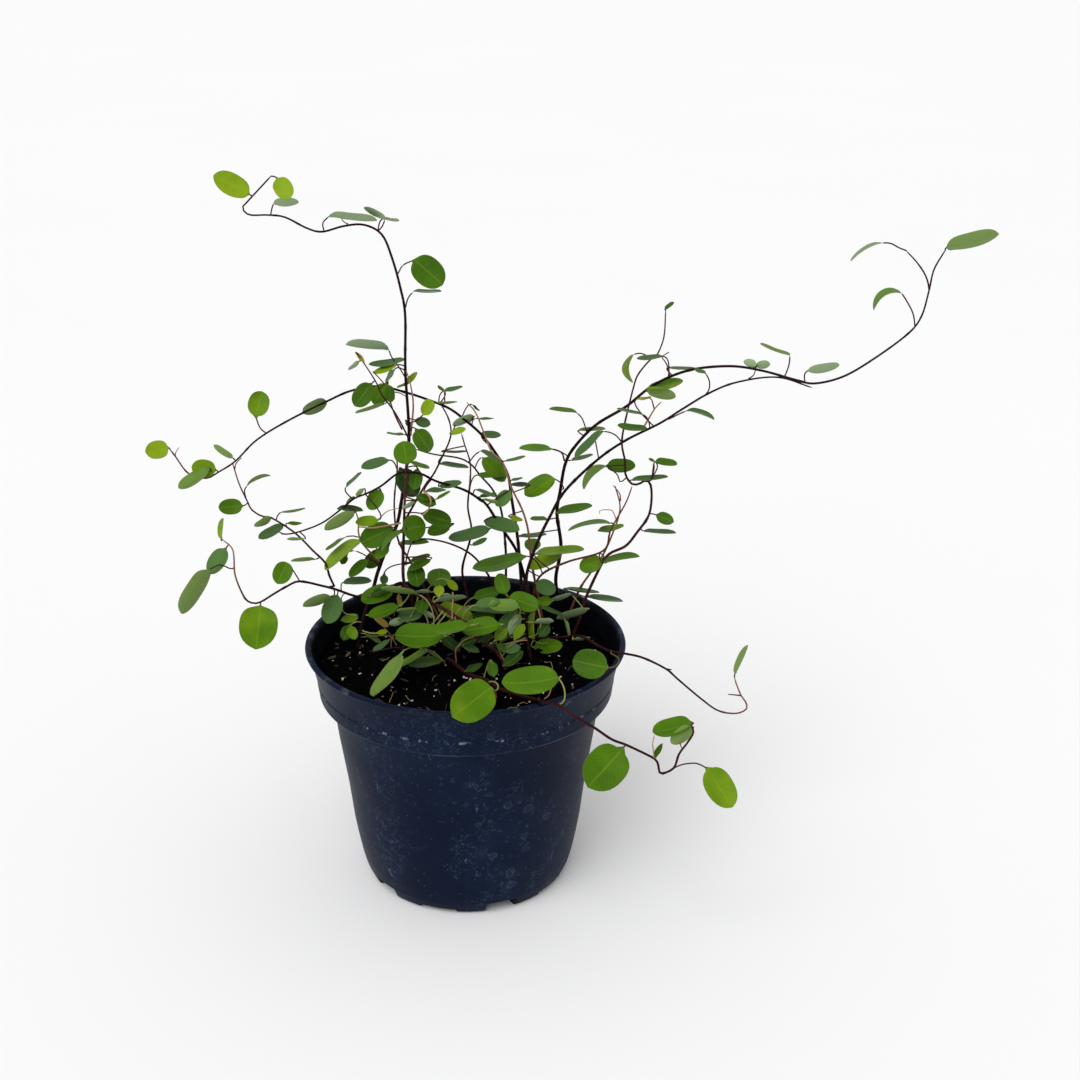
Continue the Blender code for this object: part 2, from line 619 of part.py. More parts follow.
def leaf_rings(shoot_name, base_drawn, tip_drawn, width, face, nearer, lean=0):
    """Rings of four points from the stalk's start on its shoot to the blade's tip."""
    path, radii = paths[shoot_name]
    drawn_path = np.array([on_board(p) for p in path])
    nearest = int(np.linalg.norm(drawn_path - np.array(base_drawn), axis=1).argmin())
    depth = float(path[nearest][1]) - nearer
    base = placed(base_drawn, depth)
    tip = placed(tip_drawn, depth)
    ahead, side, up, length, true_width = blade_axes(base, tip, width, face, lean)
    start = Vector(path[nearest])
    towards = (base - start).normalized()
    start = start + towards * (radii[nearest] + GAP + 2 * PETIOLE_RADIUS)
    bend = base - ahead * PETIOLE_BEND * (base - start).length
    rings = []
    # worked out from the blade back to the shoot, so that no ring is turned far from the one beside it
    stalk_up = up
    for t in (0.8, 0.4, 0):
        point = (1 - t) ** 2 * start + 2 * t * (1 - t) * bend + t**2 * base
        run = ((1 - t) * (bend - start) + t * (base - bend)).normalized()
        stalk_up = (stalk_up - stalk_up.dot(run) * run).normalized()
        rings.insert(0, cross_ring(point, stalk_up.cross(run), stalk_up, PETIOLE_RADIUS, PETIOLE_RADIUS))
    for t, share in BLADE_OUTLINE:
        cup = BLADE_CURL * length * (2 * t - 1) ** 2
        point = base + ahead * length * t + up * cup
        rings.append(cross_ring(point, up.cross(ahead), up, share * true_width / 2, BLADE_THICKNESS / 2))
    return rings


for name, leaf in LEAVES.items():
    lofted(name, leaf_rings(*leaf), LEAF_SKIN)
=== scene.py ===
"""An angel vine in a round nursery pot: its looks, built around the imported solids.

Sizes are written in millimetres and turned into metres where a mesh is made. The plant is laid out as on
an upright drawing board, the plane y = 0 seen from EYE: a point drawn at (x, z) on the board and pushed
back to depth y slides along its line of sight, so every shoot and leaf can be given its own depth.
"""

import json
from math import acos, cos, radians, sin

import bpy
import numpy as np
from mathutils import Matrix

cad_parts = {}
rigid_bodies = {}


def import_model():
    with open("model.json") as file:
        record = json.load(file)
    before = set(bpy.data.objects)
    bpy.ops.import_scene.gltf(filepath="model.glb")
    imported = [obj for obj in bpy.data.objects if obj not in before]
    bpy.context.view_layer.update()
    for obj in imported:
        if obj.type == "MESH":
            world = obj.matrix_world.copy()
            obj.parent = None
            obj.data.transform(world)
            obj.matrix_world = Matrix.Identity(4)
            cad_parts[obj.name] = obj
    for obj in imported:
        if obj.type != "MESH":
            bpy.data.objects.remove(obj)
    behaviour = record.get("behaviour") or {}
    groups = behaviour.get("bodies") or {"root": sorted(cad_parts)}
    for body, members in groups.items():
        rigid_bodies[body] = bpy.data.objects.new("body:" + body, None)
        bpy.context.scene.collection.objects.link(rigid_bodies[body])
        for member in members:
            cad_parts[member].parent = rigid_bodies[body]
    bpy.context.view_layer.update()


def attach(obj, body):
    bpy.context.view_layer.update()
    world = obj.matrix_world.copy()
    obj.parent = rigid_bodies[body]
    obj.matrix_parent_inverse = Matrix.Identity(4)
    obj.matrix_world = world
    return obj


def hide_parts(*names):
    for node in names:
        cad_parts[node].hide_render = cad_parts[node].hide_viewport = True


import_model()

# ---- camera, floor and light ----
# A plain pale floor under an even pale sky, with one broad soft lamp from the upper left. The camera
# stands level with the plant's top and looks down at the pot.

MM = 0.001
EYE = np.array([27.5, -576.0, 371.3])
LOOKING_DOWN = 22.21
CAMERA_ROLL = 0.426
SENSOR = 36.0
LENS = 56.67
NEAREST_SEEN = 0.01
LAMP_STRENGTH = 1.7
LAMP_WIDTH = 50.0
LAMP_LEAN = (38.0, -24.0)
SKY_STRENGTH = 0.66
FLOOR_REACH = 8.0

camera = bpy.data.objects.new("camera", bpy.data.cameras.new("camera"))
camera.data.sensor_width = SENSOR
camera.data.lens = LENS
camera.data.clip_start = NEAREST_SEEN
tilt = Matrix.Rotation(radians(90 - LOOKING_DOWN), 4, "X") @ Matrix.Rotation(radians(CAMERA_ROLL), 4, "Z")
camera.matrix_world = Matrix.Translation(EYE * MM) @ tilt
bpy.context.scene.collection.objects.link(camera)
bpy.context.scene.camera = camera
bpy.context.scene.view_settings.view_transform = "Standard"

lamp = bpy.data.objects.new("soft_lamp", bpy.data.lights.new("soft_lamp", "SUN"))
lamp.data.energy = LAMP_STRENGTH
lamp.data.angle = radians(LAMP_WIDTH)
lamp.rotation_euler = (radians(LAMP_LEAN[0]), radians(LAMP_LEAN[1]), 0)
bpy.context.scene.collection.objects.link(lamp)

sky = bpy.data.worlds.new("sky")
sky.use_nodes = True
sky.node_tree.nodes["Background"].inputs["Color"].default_value = (1.0, 1.0, 1.0, 1.0)
sky.node_tree.nodes["Background"].inputs["Strength"].default_value = SKY_STRENGTH
bpy.context.scene.world = sky


def shade(red, green, blue):
    """A paint colour of 0 to 255 a channel as linear light: ((c / 255 + 0.055) / 1.055) to the power 2.4."""
    return (*(((channel / 255 + 0.055) / 1.055) ** 2.4 for channel in (red, green, blue)), 1.0)


class Wire:
    """A socket of a material. Sums on wires add Math nodes, and node() adds any other node."""

    def __init__(self, tree, socket=None):
        self.tree = tree
        self.socket = socket

    def node(self, kind, settings=None, inputs=None, output=0):
        """Adds a node: first its settings, a ramp's stops among them, then its inputs' values or wires."""
        made = self.tree.nodes.new(kind)
        for name, value in (settings or {}).items():
            if name == "stops":
                ramp = made.color_ramp.elements
                while len(ramp) < len(value):
                    ramp.new(0.5)
                for stop, (place, colour) in zip(ramp, value):
                    stop.position = place
                    stop.color = colour
            else:
                setattr(made, name, value)
        for name, value in (inputs or {}).items():
            if isinstance(value, Wire):
                self.tree.links.new(value.socket, made.inputs[name])
            else:
                made.inputs[name].default_value = value
        return Wire(self.tree, made.outputs[output])

    def maths(self, operation, *values):
        return self.node("ShaderNodeMath", {"operation": operation}, dict(enumerate(values)))

    def __add__(self, other):
        return self.maths("ADD", self, other)

    def __sub__(self, other):
        return self.maths("SUBTRACT", self, other)

    def __rsub__(self, other):
        return self.maths("SUBTRACT", other, self)

    def __mul__(self, other):
        return self.maths("MULTIPLY", self, other)

    def __pow__(self, other):
        return self.maths("POWER", self, other)

    def __abs__(self):
        return self.maths("ABSOLUTE", self)

    __radd__ = __add__
    __rmul__ = __mul__

    def rise(self, start, end):
        """0 before start, 1 after end, and smooth between them."""
        settings = {"interpolation_type": "SMOOTHSTEP"}
        return self.node("ShaderNodeMapRange", settings, {"Value": self, "From Min": start, "From Max": end})

    def blend(self, first, second):
        """The first colour where this wire is 0 and the second where it is 1."""
        return self.node("ShaderNodeMix", {"data_type": "RGBA"}, {0: self, 6: first, 7: second}, 2)

    def place(self):
        """Where a point of the piece is, in metres."""
        return self.node("ShaderNodeTexCoord", output="Object")

    def named(self, name):
        """A number that the mesh carries at each point."""
        return self.node("ShaderNodeAttribute", {"attribute_name": name}, output="Fac")

    def axis(self, name):
        """One of the three numbers of a vector wire."""
        return self.node("ShaderNodeSeparateXYZ", None, {0: self}, name)

    def stretched(self, x, y, z):
        """A vector wire with each of its numbers made larger or smaller."""
        settings = {"operation": "MULTIPLY"}
        return self.node("ShaderNodeVectorMath", settings, {0: self, 1: (x, y, z)})

    def shifted(self, push, reach):
        """A vector wire moved by another that runs from 0 to 1, by up to half of reach each way."""
        moved = push.stretched(reach, reach, reach)
        settings = {"operation": "ADD"}
        return self.node("ShaderNodeVectorMath", settings, {0: self, 1: moved})

    def noise(self, scale, detail=4.0, roughness=0.55, output=0):
        """Cloudy noise from 0 to 1 over this vector wire."""
        inputs = {"Vector": self, "Scale": scale, "Detail": detail, "Roughness": roughness}
        return self.node("ShaderNodeTexNoise", None, inputs, output)

    def spots(self, scale):
        """The distance to the nearest of many scattered points, and a number that each point owns."""
        inputs = {"Vector": self, "Scale": scale}
        apart = self.node("ShaderNodeTexVoronoi", None, inputs, "Distance")
        owned = self.node("ShaderNodeTexVoronoi", None, inputs, "Color")
        return apart, owned.axis("X")

    def bump(self, strength, distance):
        """A surface that this wire raises and lowers."""
        return self.node("ShaderNodeBump", None, {"Strength": strength, "Distance": distance, "Height": self})


def new_finish(name):
    """A new material, its shader, and a bare wire that further nodes start from."""
    material = bpy.data.materials.new(name)
    material.use_nodes = True
    shader = material.node_tree.nodes["Principled BSDF"]
    return material, shader, Wire(material.node_tree)


def plug(shader, **wires):
    """Leads wires or values into the shader's sockets, whose names are written with _ for a space."""
    for name, value in wires.items():
        socket = shader.inputs[name.replace("_", " ")]
        if isinstance(value, Wire):
            value.tree.links.new(value.socket, socket)
        else:
            socket.default_value = value


floor_paint, floor_shader, start = new_finish("floor_paint")
floor_tone = start.place().noise(3.0).blend(shade(249, 249, 249), shade(246, 246, 247))
plug(floor_shader, Base_Color=floor_tone, Roughness=0.9)
floor_mesh = bpy.data.meshes.new("floor")
floor_corners = FLOOR_REACH * np.array([(-1, -1, 0), (1, -1, 0), (1, 1, 0), (-1, 1, 0)])
floor_mesh.from_pydata(floor_corners.tolist(), [], [(0, 1, 2, 3)])
floor_mesh.materials.append(floor_paint)
floor = bpy.data.objects.new("floor", floor_mesh)
bpy.context.scene.collection.objects.link(floor)

# ---- the pot ----
# A thin nursery pot, injection moulded in dark blue-grey plastic: a tapering wall, a wide rim band with a
# rolled lip, and a foot ring with ten slots, low ones and tall ones in turn. Five holes through its floor
# let the water out.

POT_RIM_RADIUS = 60.0
POT_HEIGHT = 96.0
POT_WALL = 1.2
BAND_BOTTOM = 77.4
BAND_LINE = 82.2
LIP_FOOT = 94.4
BAND_FOOT_RADIUS = 55.0
BAND_TOP_RADIUS = 58.2
BODY_TOP_RADIUS = 50.7
FLOOR_UNDERSIDE = 5.0
FLOOR_TOP = 6.4
FLOOR_EDGE_RADIUS = 38.0
BOSS_RADIUS = 9.0
FOOT_INSIDE_RADIUS = 30.0
FOOT_OUTSIDE_RADIUS = 36.7
CORNER_ROUNDING = 0.5
LONGEST_CUT_SHARE = 0.45
POT_BODY = [(38.2, 0.8), (39.0, 2.6), (40.1, 5), (41.4, 10), (42.9, 18), (44.0, 25), (45.7, 40), (48.7, 60)]
SLOT_COUNT = 10
SLOT_HEIGHTS = np.array([1.8, 4.8])
SLOT_HALF_WIDTHS = np.array([10.0, 8.0])
SLOT_FIRST = -105.0
SLOT_REACH = 29.0
DRAIN_COUNT = 5
DRAIN_RADIUS = 3.0
DRAIN_CIRCLE_RADIUS = 20.0
POT_COLUMNS = 360
POT_CREASE = 32
BORE_COLUMNS = 32
AXIS_GAP = 0.2


def piece_from(name, points, faces, material, across=None, numbers=None, crease=40):
    """A piece from points in millimetres and faces that number them, riding on the one body.

    across holds each point's place on the surface, two numbers from 0 to 1, and numbers the values that
    the points carry for the material.
    """
    mesh = bpy.data.meshes.new(name)
    mesh.from_pydata((np.asarray(points) * MM).tolist(), [], faces)
    mesh.materials.append(material)
    mesh.shade_smooth()
    mesh.set_sharp_from_angle(angle=radians(crease))
    if across is not None:
        corner_points = np.empty(len(mesh.loops), dtype=np.int32)
        mesh.loops.foreach_get("vertex_index", corner_points)
        layer = mesh.uv_layers.new(name="surface")
        layer.data.foreach_set("uv", np.asarray(across, np.float32)[corner_points].ravel())
    for label, values in (numbers or {}).items():
        carried = mesh.attributes.new(label, "FLOAT", "POINT")
        carried.data.foreach_set("value", np.asarray(values, np.float32))
    piece = bpy.data.objects.new(name, mesh)
    bpy.context.scene.collection.objects.link(piece)
    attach(piece, "root")
    return piece


def sleeve_faces(rows, around, first=0):
    """Faces of a closed sleeve: rows rings of around points each, numbered ring by ring from first.

    Corner k of row i joins corner k + 1, going round, and the same two corners of row i + 1. Each end is
    closed by one flat face.
    """
    row, column = np.meshgrid(np.arange(rows - 1), np.arange(around), indexing="ij")
    beside = (column + 1) % around
    quads = np.stack([row * around + column, row * around + beside, (row + 1) * around + beside,
                      (row + 1) * around + column], axis=-1)
    faces = (quads.reshape(-1, 4) + first).tolist()
    faces.append((first + np.arange(around)[::-1]).tolist())
    faces.append((first + (rows - 1) * around + np.arange(around)).tolist())
    return faces


def eased(profile, radius):
    """The profile with each inner corner cut back by radius and rounded by one point halfway round."""
    corner = np.array(profile, float)
    before = corner[:-2] - corner[1:-1]
    after = corner[2:] - corner[1:-1]
    reach_back = np.minimum(radius / np.linalg.norm(before, axis=1), LONGEST_CUT_SHARE)[:, None]
    reach_on = np.minimum(radius / np.linalg.norm(after, axis=1), LONGEST_CUT_SHARE)[:, None]
    start = corner[1:-1] + before * reach_back
    end = corner[1:-1] + after * reach_on
    middle = (start + 2 * corner[1:-1] + end) / 4
    inner = np.stack([start, middle, end], axis=1).reshape(-1, 2)
    return np.concatenate([corner[:1], inner, corner[-1:]])


def full_turn(count):
    """count angles spread evenly once round."""
    return np.linspace(0, 2 * np.pi, count, endpoint=False)


def turned(profile, columns):
    """Rings of points: each (radius, height) of the profile carried once round the upright axis."""
    angle = full_turn(columns)
    radius, height = np.asarray(profile, float).T
    around = np.stack([np.cos(angle), np.sin(angle)], axis=-1)
    flat = radius[:, None, None] * around[None]
    upright = np.broadcast_to(height[:, None, None], (len(radius), columns, 1))
    return np.concatenate([flat, upright], axis=-1)


# The wall in section as (radius, height): from the middle of the underside, out and up the outside, over
# the lip and down the inside to the middle of the floor.
pot_profile = [
    (AXIS_GAP, 0), (BOSS_RADIUS, 0), (BOSS_RADIUS + 0.6, FLOOR_UNDERSIDE),
    (FOOT_INSIDE_RADIUS, FLOOR_UNDERSIDE), (FOOT_INSIDE_RADIUS + 0.6, 0), (FOOT_OUTSIDE_RADIUS, 0), *POT_BODY,
    (BODY_TOP_RADIUS, BAND_BOTTOM - 1.4), (BAND_FOOT_RADIUS - 0.2, BAND_BOTTOM - 1.0),
    (BAND_FOOT_RADIUS + 0.25, BAND_BOTTOM - 0.3), (BAND_FOOT_RADIUS + 0.3, BAND_BOTTOM + 0.9),
    (BAND_FOOT_RADIUS + 0.9, BAND_LINE), (BAND_FOOT_RADIUS + 0.65, BAND_LINE + 0.3),
    (BAND_TOP_RADIUS, LIP_FOOT - 0.5), (POT_RIM_RADIUS - 0.6, LIP_FOOT), (POT_RIM_RADIUS, LIP_FOOT + 0.8),
    (POT_RIM_RADIUS - 0.5, POT_HEIGHT),
    (BAND_TOP_RADIUS - 0.4, POT_HEIGHT), (BAND_TOP_RADIUS - POT_WALL, LIP_FOOT),
    (BAND_FOOT_RADIUS - POT_WALL, BAND_BOTTOM + 1.2), (BODY_TOP_RADIUS - POT_WALL, BAND_BOTTOM + 0.2),
    *((radius - POT_WALL, height) for radius, height in POT_BODY[:2:-1]),
    (FLOOR_EDGE_RADIUS + 1, FLOOR_TOP + 1.6), (FLOOR_EDGE_RADIUS, FLOOR_TOP), (AXIS_GAP, FLOOR_TOP),
]
pot_rings = turned(eased(pot_profile, CORNER_ROUNDING), POT_COLUMNS)
degrees_round = np.linspace(0, 360, POT_COLUMNS, endpoint=False)
slot_spacing = 360 / SLOT_COUNT
from_slot = np.abs((degrees_round - SLOT_FIRST + slot_spacing / 2) % slot_spacing - slot_spacing / 2)
slot_kind = np.round((degrees_round - SLOT_FIRST) / slot_spacing).astype(int) % 2
slot_lift = SLOT_HEIGHTS[slot_kind] * np.clip(SLOT_HALF_WIDTHS[slot_kind] + 1 - from_slot, 0, 1)
ring_radius = np.hypot(pot_rings[..., 0], pot_rings[..., 1])
under_slot = (ring_radius > SLOT_REACH) & (pot_rings[..., 2] < SLOT_HEIGHTS.max())
lifted = np.maximum(pot_rings[..., 2], slot_lift[None, :])
pot_rings[..., 2] = np.where(under_slot, lifted, pot_rings[..., 2])

pot_plastic, pot_shader, start = new_finish("pot_plastic")
place = start.place()
height = place.axis("Z")
haze = place.noise(26, 5, 0.6)
grime = place.stretched(1, 1, 0.35).noise(70, 6, 0.65)
film = haze.rise(0.38, 0.72).blend(shade(5, 17, 38), shade(11, 25, 49))
stirred = place.shifted(place.noise(300, 3, 0.6, 1), 0.004)
dried_drops = []
for scale, sparse in ((150, 0.8), (240, 0.76), (430, 0.72)):
    apart, owned = stirred.spots(scale)
    ring = apart.rise(0.22, 0.26) * (1 - apart.rise(0.26, 0.32))
    wet = (1 - apart.rise(0.22, 0.28)) * 0.3
    dried_drops.append((ring + wet) * owned.rise(sparse, sparse + 0.04))
hairline = 1 - abs(stirred.noise(190, 5, 0.6) - 0.5).rise(0.002, 0.009)
dust, dust_kind = place.spots(900)
specks = (1 - dust.rise(0.12, 0.24)) * dust_kind.rise(0.88, 0.92)
scrape = stirred.stretched(1, 1, 0.16).noise(520, 2, 0.5).rise(0.68, 0.73)
scrape = scrape * place.noise(55, 3, 0.5).rise(0.55, 0.62)
rub = (1 - abs(height - BAND_LINE * MM).rise(0.0, 0.0008)) * place.noise(240, 4, 0.7).rise(0.54, 0.64)
corner_line = 1 - abs(height - (BAND_BOTTOM - 0.8) * MM).rise(0.0, 0.0007)
# The inside of the wall above the mix lies within a cone that widens by this share of its height.
INSIDE_SLOPE = 0.2025
radius = (place.axis("X") ** 2 + place.axis("Y") ** 2) ** 0.5
# Painted shade: the inside of the wall above the mix, which the pot's own wall shadows, is picked out here to
# be painted near black.
painted_inner_shade = (1 - (radius - height * INSIDE_SLOPE).rise(0.0383, 0.0387)) * height.rise(0.080, 0.082)
# Each mark on the film: where it lies, how strong it is and its colour. The near-black mark on the inside of
# the wall above the mix is painted shade.
for mark, strength, colour in (
    (grime.rise(0.56, 0.8), 0.25, (34, 47, 72)),
    (sum(dried_drops) * haze.rise(0.42, 0.62), 0.16, (104, 116, 140)),
    (hairline * place.noise(48, 3, 0.5).rise(0.5, 0.62), 0.22, (110, 122, 146)),
    (specks, 0.3, (120, 132, 152)),
    (scrape, 0.25, (110, 120, 140)),
    (rub, 0.5, (150, 158, 168)),
    (corner_line * place.noise(60, 3, 0.6).rise(0.4, 0.6), 0.35, (110, 120, 135)),
    # painted shade on the inside of the wall above the mix
    (painted_inner_shade, 0.95, (3, 4, 8)),
    (height.rise(0.0945, 0.0955) * place.noise(130, 4, 0.6).rise(0.5, 0.7), 0.35, (100, 108, 122)),
):
    film = (mark * strength).blend(film, shade(*colour))
pot_grain = place.noise(900, 2, 0.5) * 0.4 + place.noise(180, 3, 0.5) - scrape * 0.8
dulled = place.noise(40, 3, 0.5) * 0.16 + 0.36 + specks * 0.15 + rub * 0.2
plug(pot_shader, Base_Color=film, Roughness=dulled, Normal=pot_grain.bump(0.12, 0.0004),
     Specular_IOR_Level=0.06)

pot_faces = sleeve_faces(len(pot_rings), POT_COLUMNS)
pot_points = pot_rings.reshape(-1, 3)
pot = piece_from("pot_shell", pot_points, pot_faces, pot_plastic, crease=POT_CREASE)

drain_turn = 2 * np.pi * (np.arange(DRAIN_COUNT) + 0.5) / DRAIN_COUNT
bore = turned([(DRAIN_RADIUS, FLOOR_UNDERSIDE - 1), (DRAIN_RADIUS, FLOOR_TOP + 1)], BORE_COLUMNS)
bore_centres = DRAIN_CIRCLE_RADIUS * np.stack([np.cos(drain_turn), np.sin(drain_turn), 0 * drain_turn], -1)
bore_points = (bore[None] + bore_centres[:, None, None]).reshape(-1, 3)
bore_faces = [face for bore_number in range(DRAIN_COUNT)
              for face in sleeve_faces(2, BORE_COLUMNS, bore_number * 2 * BORE_COLUMNS)]
bore_mesh = bpy.data.meshes.new("drain_bores")
bore_mesh.from_pydata((bore_points * MM).tolist(), [], bore_faces)
bores = bpy.data.objects.new("drain_bores", bore_mesh)
bpy.context.scene.collection.objects.link(bores)
drilling = pot.modifiers.new("drains", "BOOLEAN")
drilling.operation = "DIFFERENCE"
drilling.solver = "EXACT"
drilling.object = bores
drilled = bpy.data.meshes.new_from_object(pot.evaluated_get(bpy.context.evaluated_depsgraph_get()))
pot.modifiers.clear()
pot.data = drilled
bpy.data.objects.remove(bores)
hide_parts("pot")

# ---- the potting mix ----
# Damp dark peat that fills the pot to a finger's width under its rim. Its top is crumbly and uneven, and
# it sinks a little where it has shrunk from the wall.

SOIL_TOP = 88.0
SOIL_GAP = 1.6
SOIL_COLUMNS = 220
SOIL_ROWS = 110
EDGE_FALL_WIDTH = 5.0
EDGE_FALL = 0.9
CRUMBLE_LIMITS = (-1.8, 1.2)
CALM_MIDDLE = 3.0
MIX_CREASE = 60

ripple_dice = np.random.default_rng(11)


def rumple(x, y, wave, count=14):
    """A rolling height from -1 to 1: the mean of count sine waves of about that wavelength, each with its
    own direction and start."""
    turn = ripple_dice.uniform(0, 2 * np.pi, count)
    pitch = 2 * np.pi / (wave * ripple_dice.uniform(0.6, 1.6, count))
    phase = ripple_dice.uniform(0, 2 * np.pi, count)
    run = x[..., None] * np.cos(turn) + y[..., None] * np.sin(turn)
    return np.sin(run * pitch + phase).sum(-1) / count**0.5 / 1.5


soil_edge = BAND_FOOT_RADIUS - SOIL_GAP + 3.2 * (SOIL_TOP - BAND_BOTTOM - 1.9) / 18.6
soil_profile = [
    (AXIS_GAP, FLOOR_TOP + 0.3), (FLOOR_EDGE_RADIUS - 0.6, FLOOR_TOP + 0.3),
    (FLOOR_EDGE_RADIUS + 0.4, FLOOR_TOP + 2.2),
    *((radius - SOIL_GAP, height) for radius, height in POT_BODY[3:]),
    (BODY_TOP_RADIUS - SOIL_GAP, BAND_BOTTOM + 0.6), (BAND_FOOT_RADIUS - SOIL_GAP, BAND_BOTTOM + 1.9),
    (soil_edge - 0.2, SOIL_TOP - 1.6),
]
soil_top_radii = np.linspace(soil_edge - 0.7, AXIS_GAP, SOIL_ROWS)
soil_top_profile = np.stack([soil_top_radii, np.full(SOIL_ROWS, SOIL_TOP)], axis=-1)
soil_rings = turned(np.concatenate([soil_profile, soil_top_profile]), SOIL_COLUMNS)
x, y = soil_rings[..., 0], soil_rings[..., 1]
from_edge = np.clip((soil_edge - np.hypot(x, y)) / EDGE_FALL_WIDTH, 0, 1)
crumble = 0.7 * rumple(x, y, 20) + 0.6 * rumple(x, y, 7) + 0.4 * rumple(x, y, 2.8) + 0.16 * rumple(x, y, 1.4)
is_top = soil_rings[..., 2] > SOIL_TOP - 0.1
centre_calm = np.clip(np.hypot(x, y) / CALM_MIDDLE, 0, 1)
rough = (crumble * centre_calm - EDGE_FALL * (1 - from_edge)).clip(*CRUMBLE_LIMITS)
soil_rings[..., 2] += np.where(is_top, rough, 0)

peat, peat_shader, start = new_finish("peat")
place = start.place()
clods = place.noise(260, 6, 0.7)
crumbs, crumb_kind = place.spots(600)
peat_tone = clods.rise(0.3, 0.75).blend(shade(2, 3, 6), shade(11, 10, 11))
browned = crumb_kind.rise(0.88, 0.97) * (1 - crumbs.rise(0.2, 0.5))
peat_tone = (browned * 0.5).blend(peat_tone, shade(44, 34, 30))
peat_height = clods + (1 - crumbs) * 0.5 + place.noise(1300, 3, 0.6) * 0.4
plug(peat_shader, Base_Color=peat_tone, Roughness=0.95 - clods * 0.2, Normal=peat_height.bump(0.9, 0.0012),
     Specular_IOR_Level=0.0)

mix_faces = sleeve_faces(len(soil_rings), SOIL_COLUMNS)
mix = piece_from("mix_bed", soil_rings.reshape(-1, 3), mix_faces, peat, crease=MIX_CREASE)
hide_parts("potting_mix")


def soil_height(x, y):
    """The mix's height under points of the plan, read from the nearest point of its top."""
    inwards = (soil_edge - 0.7 - np.hypot(x, y)) / (soil_edge - 0.9)
    ring = np.clip(np.round(inwards * (SOIL_ROWS - 1)), 0, SOIL_ROWS - 1)
    column = np.round(np.arctan2(y, x) % (2 * np.pi) / (2 * np.pi) * SOIL_COLUMNS) % SOIL_COLUMNS
    return soil_rings[len(soil_profile) + ring.astype(int), column.astype(int), 2]


# ---- perlite, bark chips and fibres on the mix ----
# White grains of puffed glass, splinters of composted bark and pale root fibres lie where they were
# tipped in with the peat, half sunk in it.

GRAIN_RINGS = 4
GRAIN_SIDES = 6
PERLITE_COUNT, PERLITE_REACH, PERLITE_SIZES = 90, 50, (0.25, 0.7)
CHIP_COUNT, CHIP_REACH, CHIP_SIZES = 150, 52, (0.5, 1.4)
FIBRE_COUNT, FIBRE_REACH, FIBRE_LIMIT = 34, 50, 54
FIBRE_LENGTHS, FIBRE_GIRTHS, FIBRE_HOPS, FIBRE_VEER = (3, 11), (0.07, 0.16), (0.1, 1.4), 1.6
FIBRE_STEPS = 6
FIBRE_SIDES = 4

litter_dice = np.random.default_rng(23)


def scattered(count, reach):
    """Points spread evenly over a round plan: the radius is reach times the root of an even draw."""
    radius = reach * litter_dice.uniform(0, 1, count) ** 0.5
    turn = litter_dice.uniform(0, 2 * np.pi, count)
    return radius * np.cos(turn), radius * np.sin(turn)


def lumps(count, reach, sizes, squash, sunk):
    """Rough grains: a globe of four rings of six, each of its points moved in or out by up to a quarter,
    stretched by squash along each axis, turned about the upright, and set on the mix."""
    x, y = scattered(count, reach)
    size = litter_dice.uniform(*sizes, (count, 1, 1))
    dip = np.array([-1.0, -0.5, 0.5, 1.0]) * 1.2
    turn = full_turn(GRAIN_SIDES)
    level, upright = np.cos(dip)[:, None], np.broadcast_to(np.sin(dip)[:, None], (GRAIN_RINGS, GRAIN_SIDES))
    globe = np.stack([level * np.cos(turn), level * np.sin(turn), upright], axis=-1).reshape(-1, 3)
    grains = globe[None] * litter_dice.uniform(0.75, 1.2, (count, len(globe), 1)) * size * np.array(squash)
    tip = litter_dice.uniform(-0.5, 0.5, (count, 1))
    spin = litter_dice.uniform(0, 2 * np.pi, (count, 1))
    leaning = grains[..., 2] + np.sin(tip) * grains[..., 0]
    turned_x = grains[..., 0] * np.cos(spin) - grains[..., 1] * np.sin(spin)
    turned_y = grains[..., 0] * np.sin(spin) + grains[..., 1] * np.cos(spin)
    ground = soil_height(x, y) - sunk
    points = np.stack([turned_x + x[:, None], turned_y + y[:, None], leaning + ground[:, None]], axis=-1)
    faces = [face for grain in range(count)
             for face in sleeve_faces(GRAIN_RINGS, GRAIN_SIDES, grain * GRAIN_RINGS * GRAIN_SIDES)]
    kind = np.repeat(litter_dice.uniform(0, 1, count), GRAIN_RINGS * GRAIN_SIDES)
    return points.reshape(-1, 3), faces, {"kind": kind}


puffed_glass, puffed_shader, start = new_finish("puffed_glass")
pores = start.place().noise(1500, 3, 0.6)
glass_tone = pores.rise(0.35, 0.7).blend(shade(150, 146, 130), shade(226, 224, 212))
plug(puffed_shader, Base_Color=glass_tone, Roughness=0.75 + pores * 0.2, Normal=pores.bump(0.6, 0.0003))
perlite_points, perlite_faces, _ = lumps(PERLITE_COUNT, PERLITE_REACH, PERLITE_SIZES, (1.2, 0.9, 0.8), 0.1)
piece_from("perlite", perlite_points, perlite_faces, puffed_glass)

bark_chip, chip_shader, start = new_finish("bark_chip")
wood_run = start.place().stretched(1, 1, 3).noise(700, 4, 0.6)
chip_tone = start.named("kind").rise(0.3, 1.0).blend(shade(8, 7, 9), shade(84, 64, 44))
chip_tone = (wood_run.rise(0.45, 0.7) * 0.3).blend(chip_tone, shade(60, 44, 34))
plug(chip_shader, Base_Color=chip_tone, Roughness=0.75 + wood_run * 0.2, Normal=wood_run.bump(0.5, 0.0003))
chip_points, chip_faces, chip_numbers = lumps(CHIP_COUNT, CHIP_REACH, CHIP_SIZES, (1.7, 0.6, 0.3), 0.05)
piece_from("bark_chips", chip_points, chip_faces, bark_chip, numbers=chip_numbers)

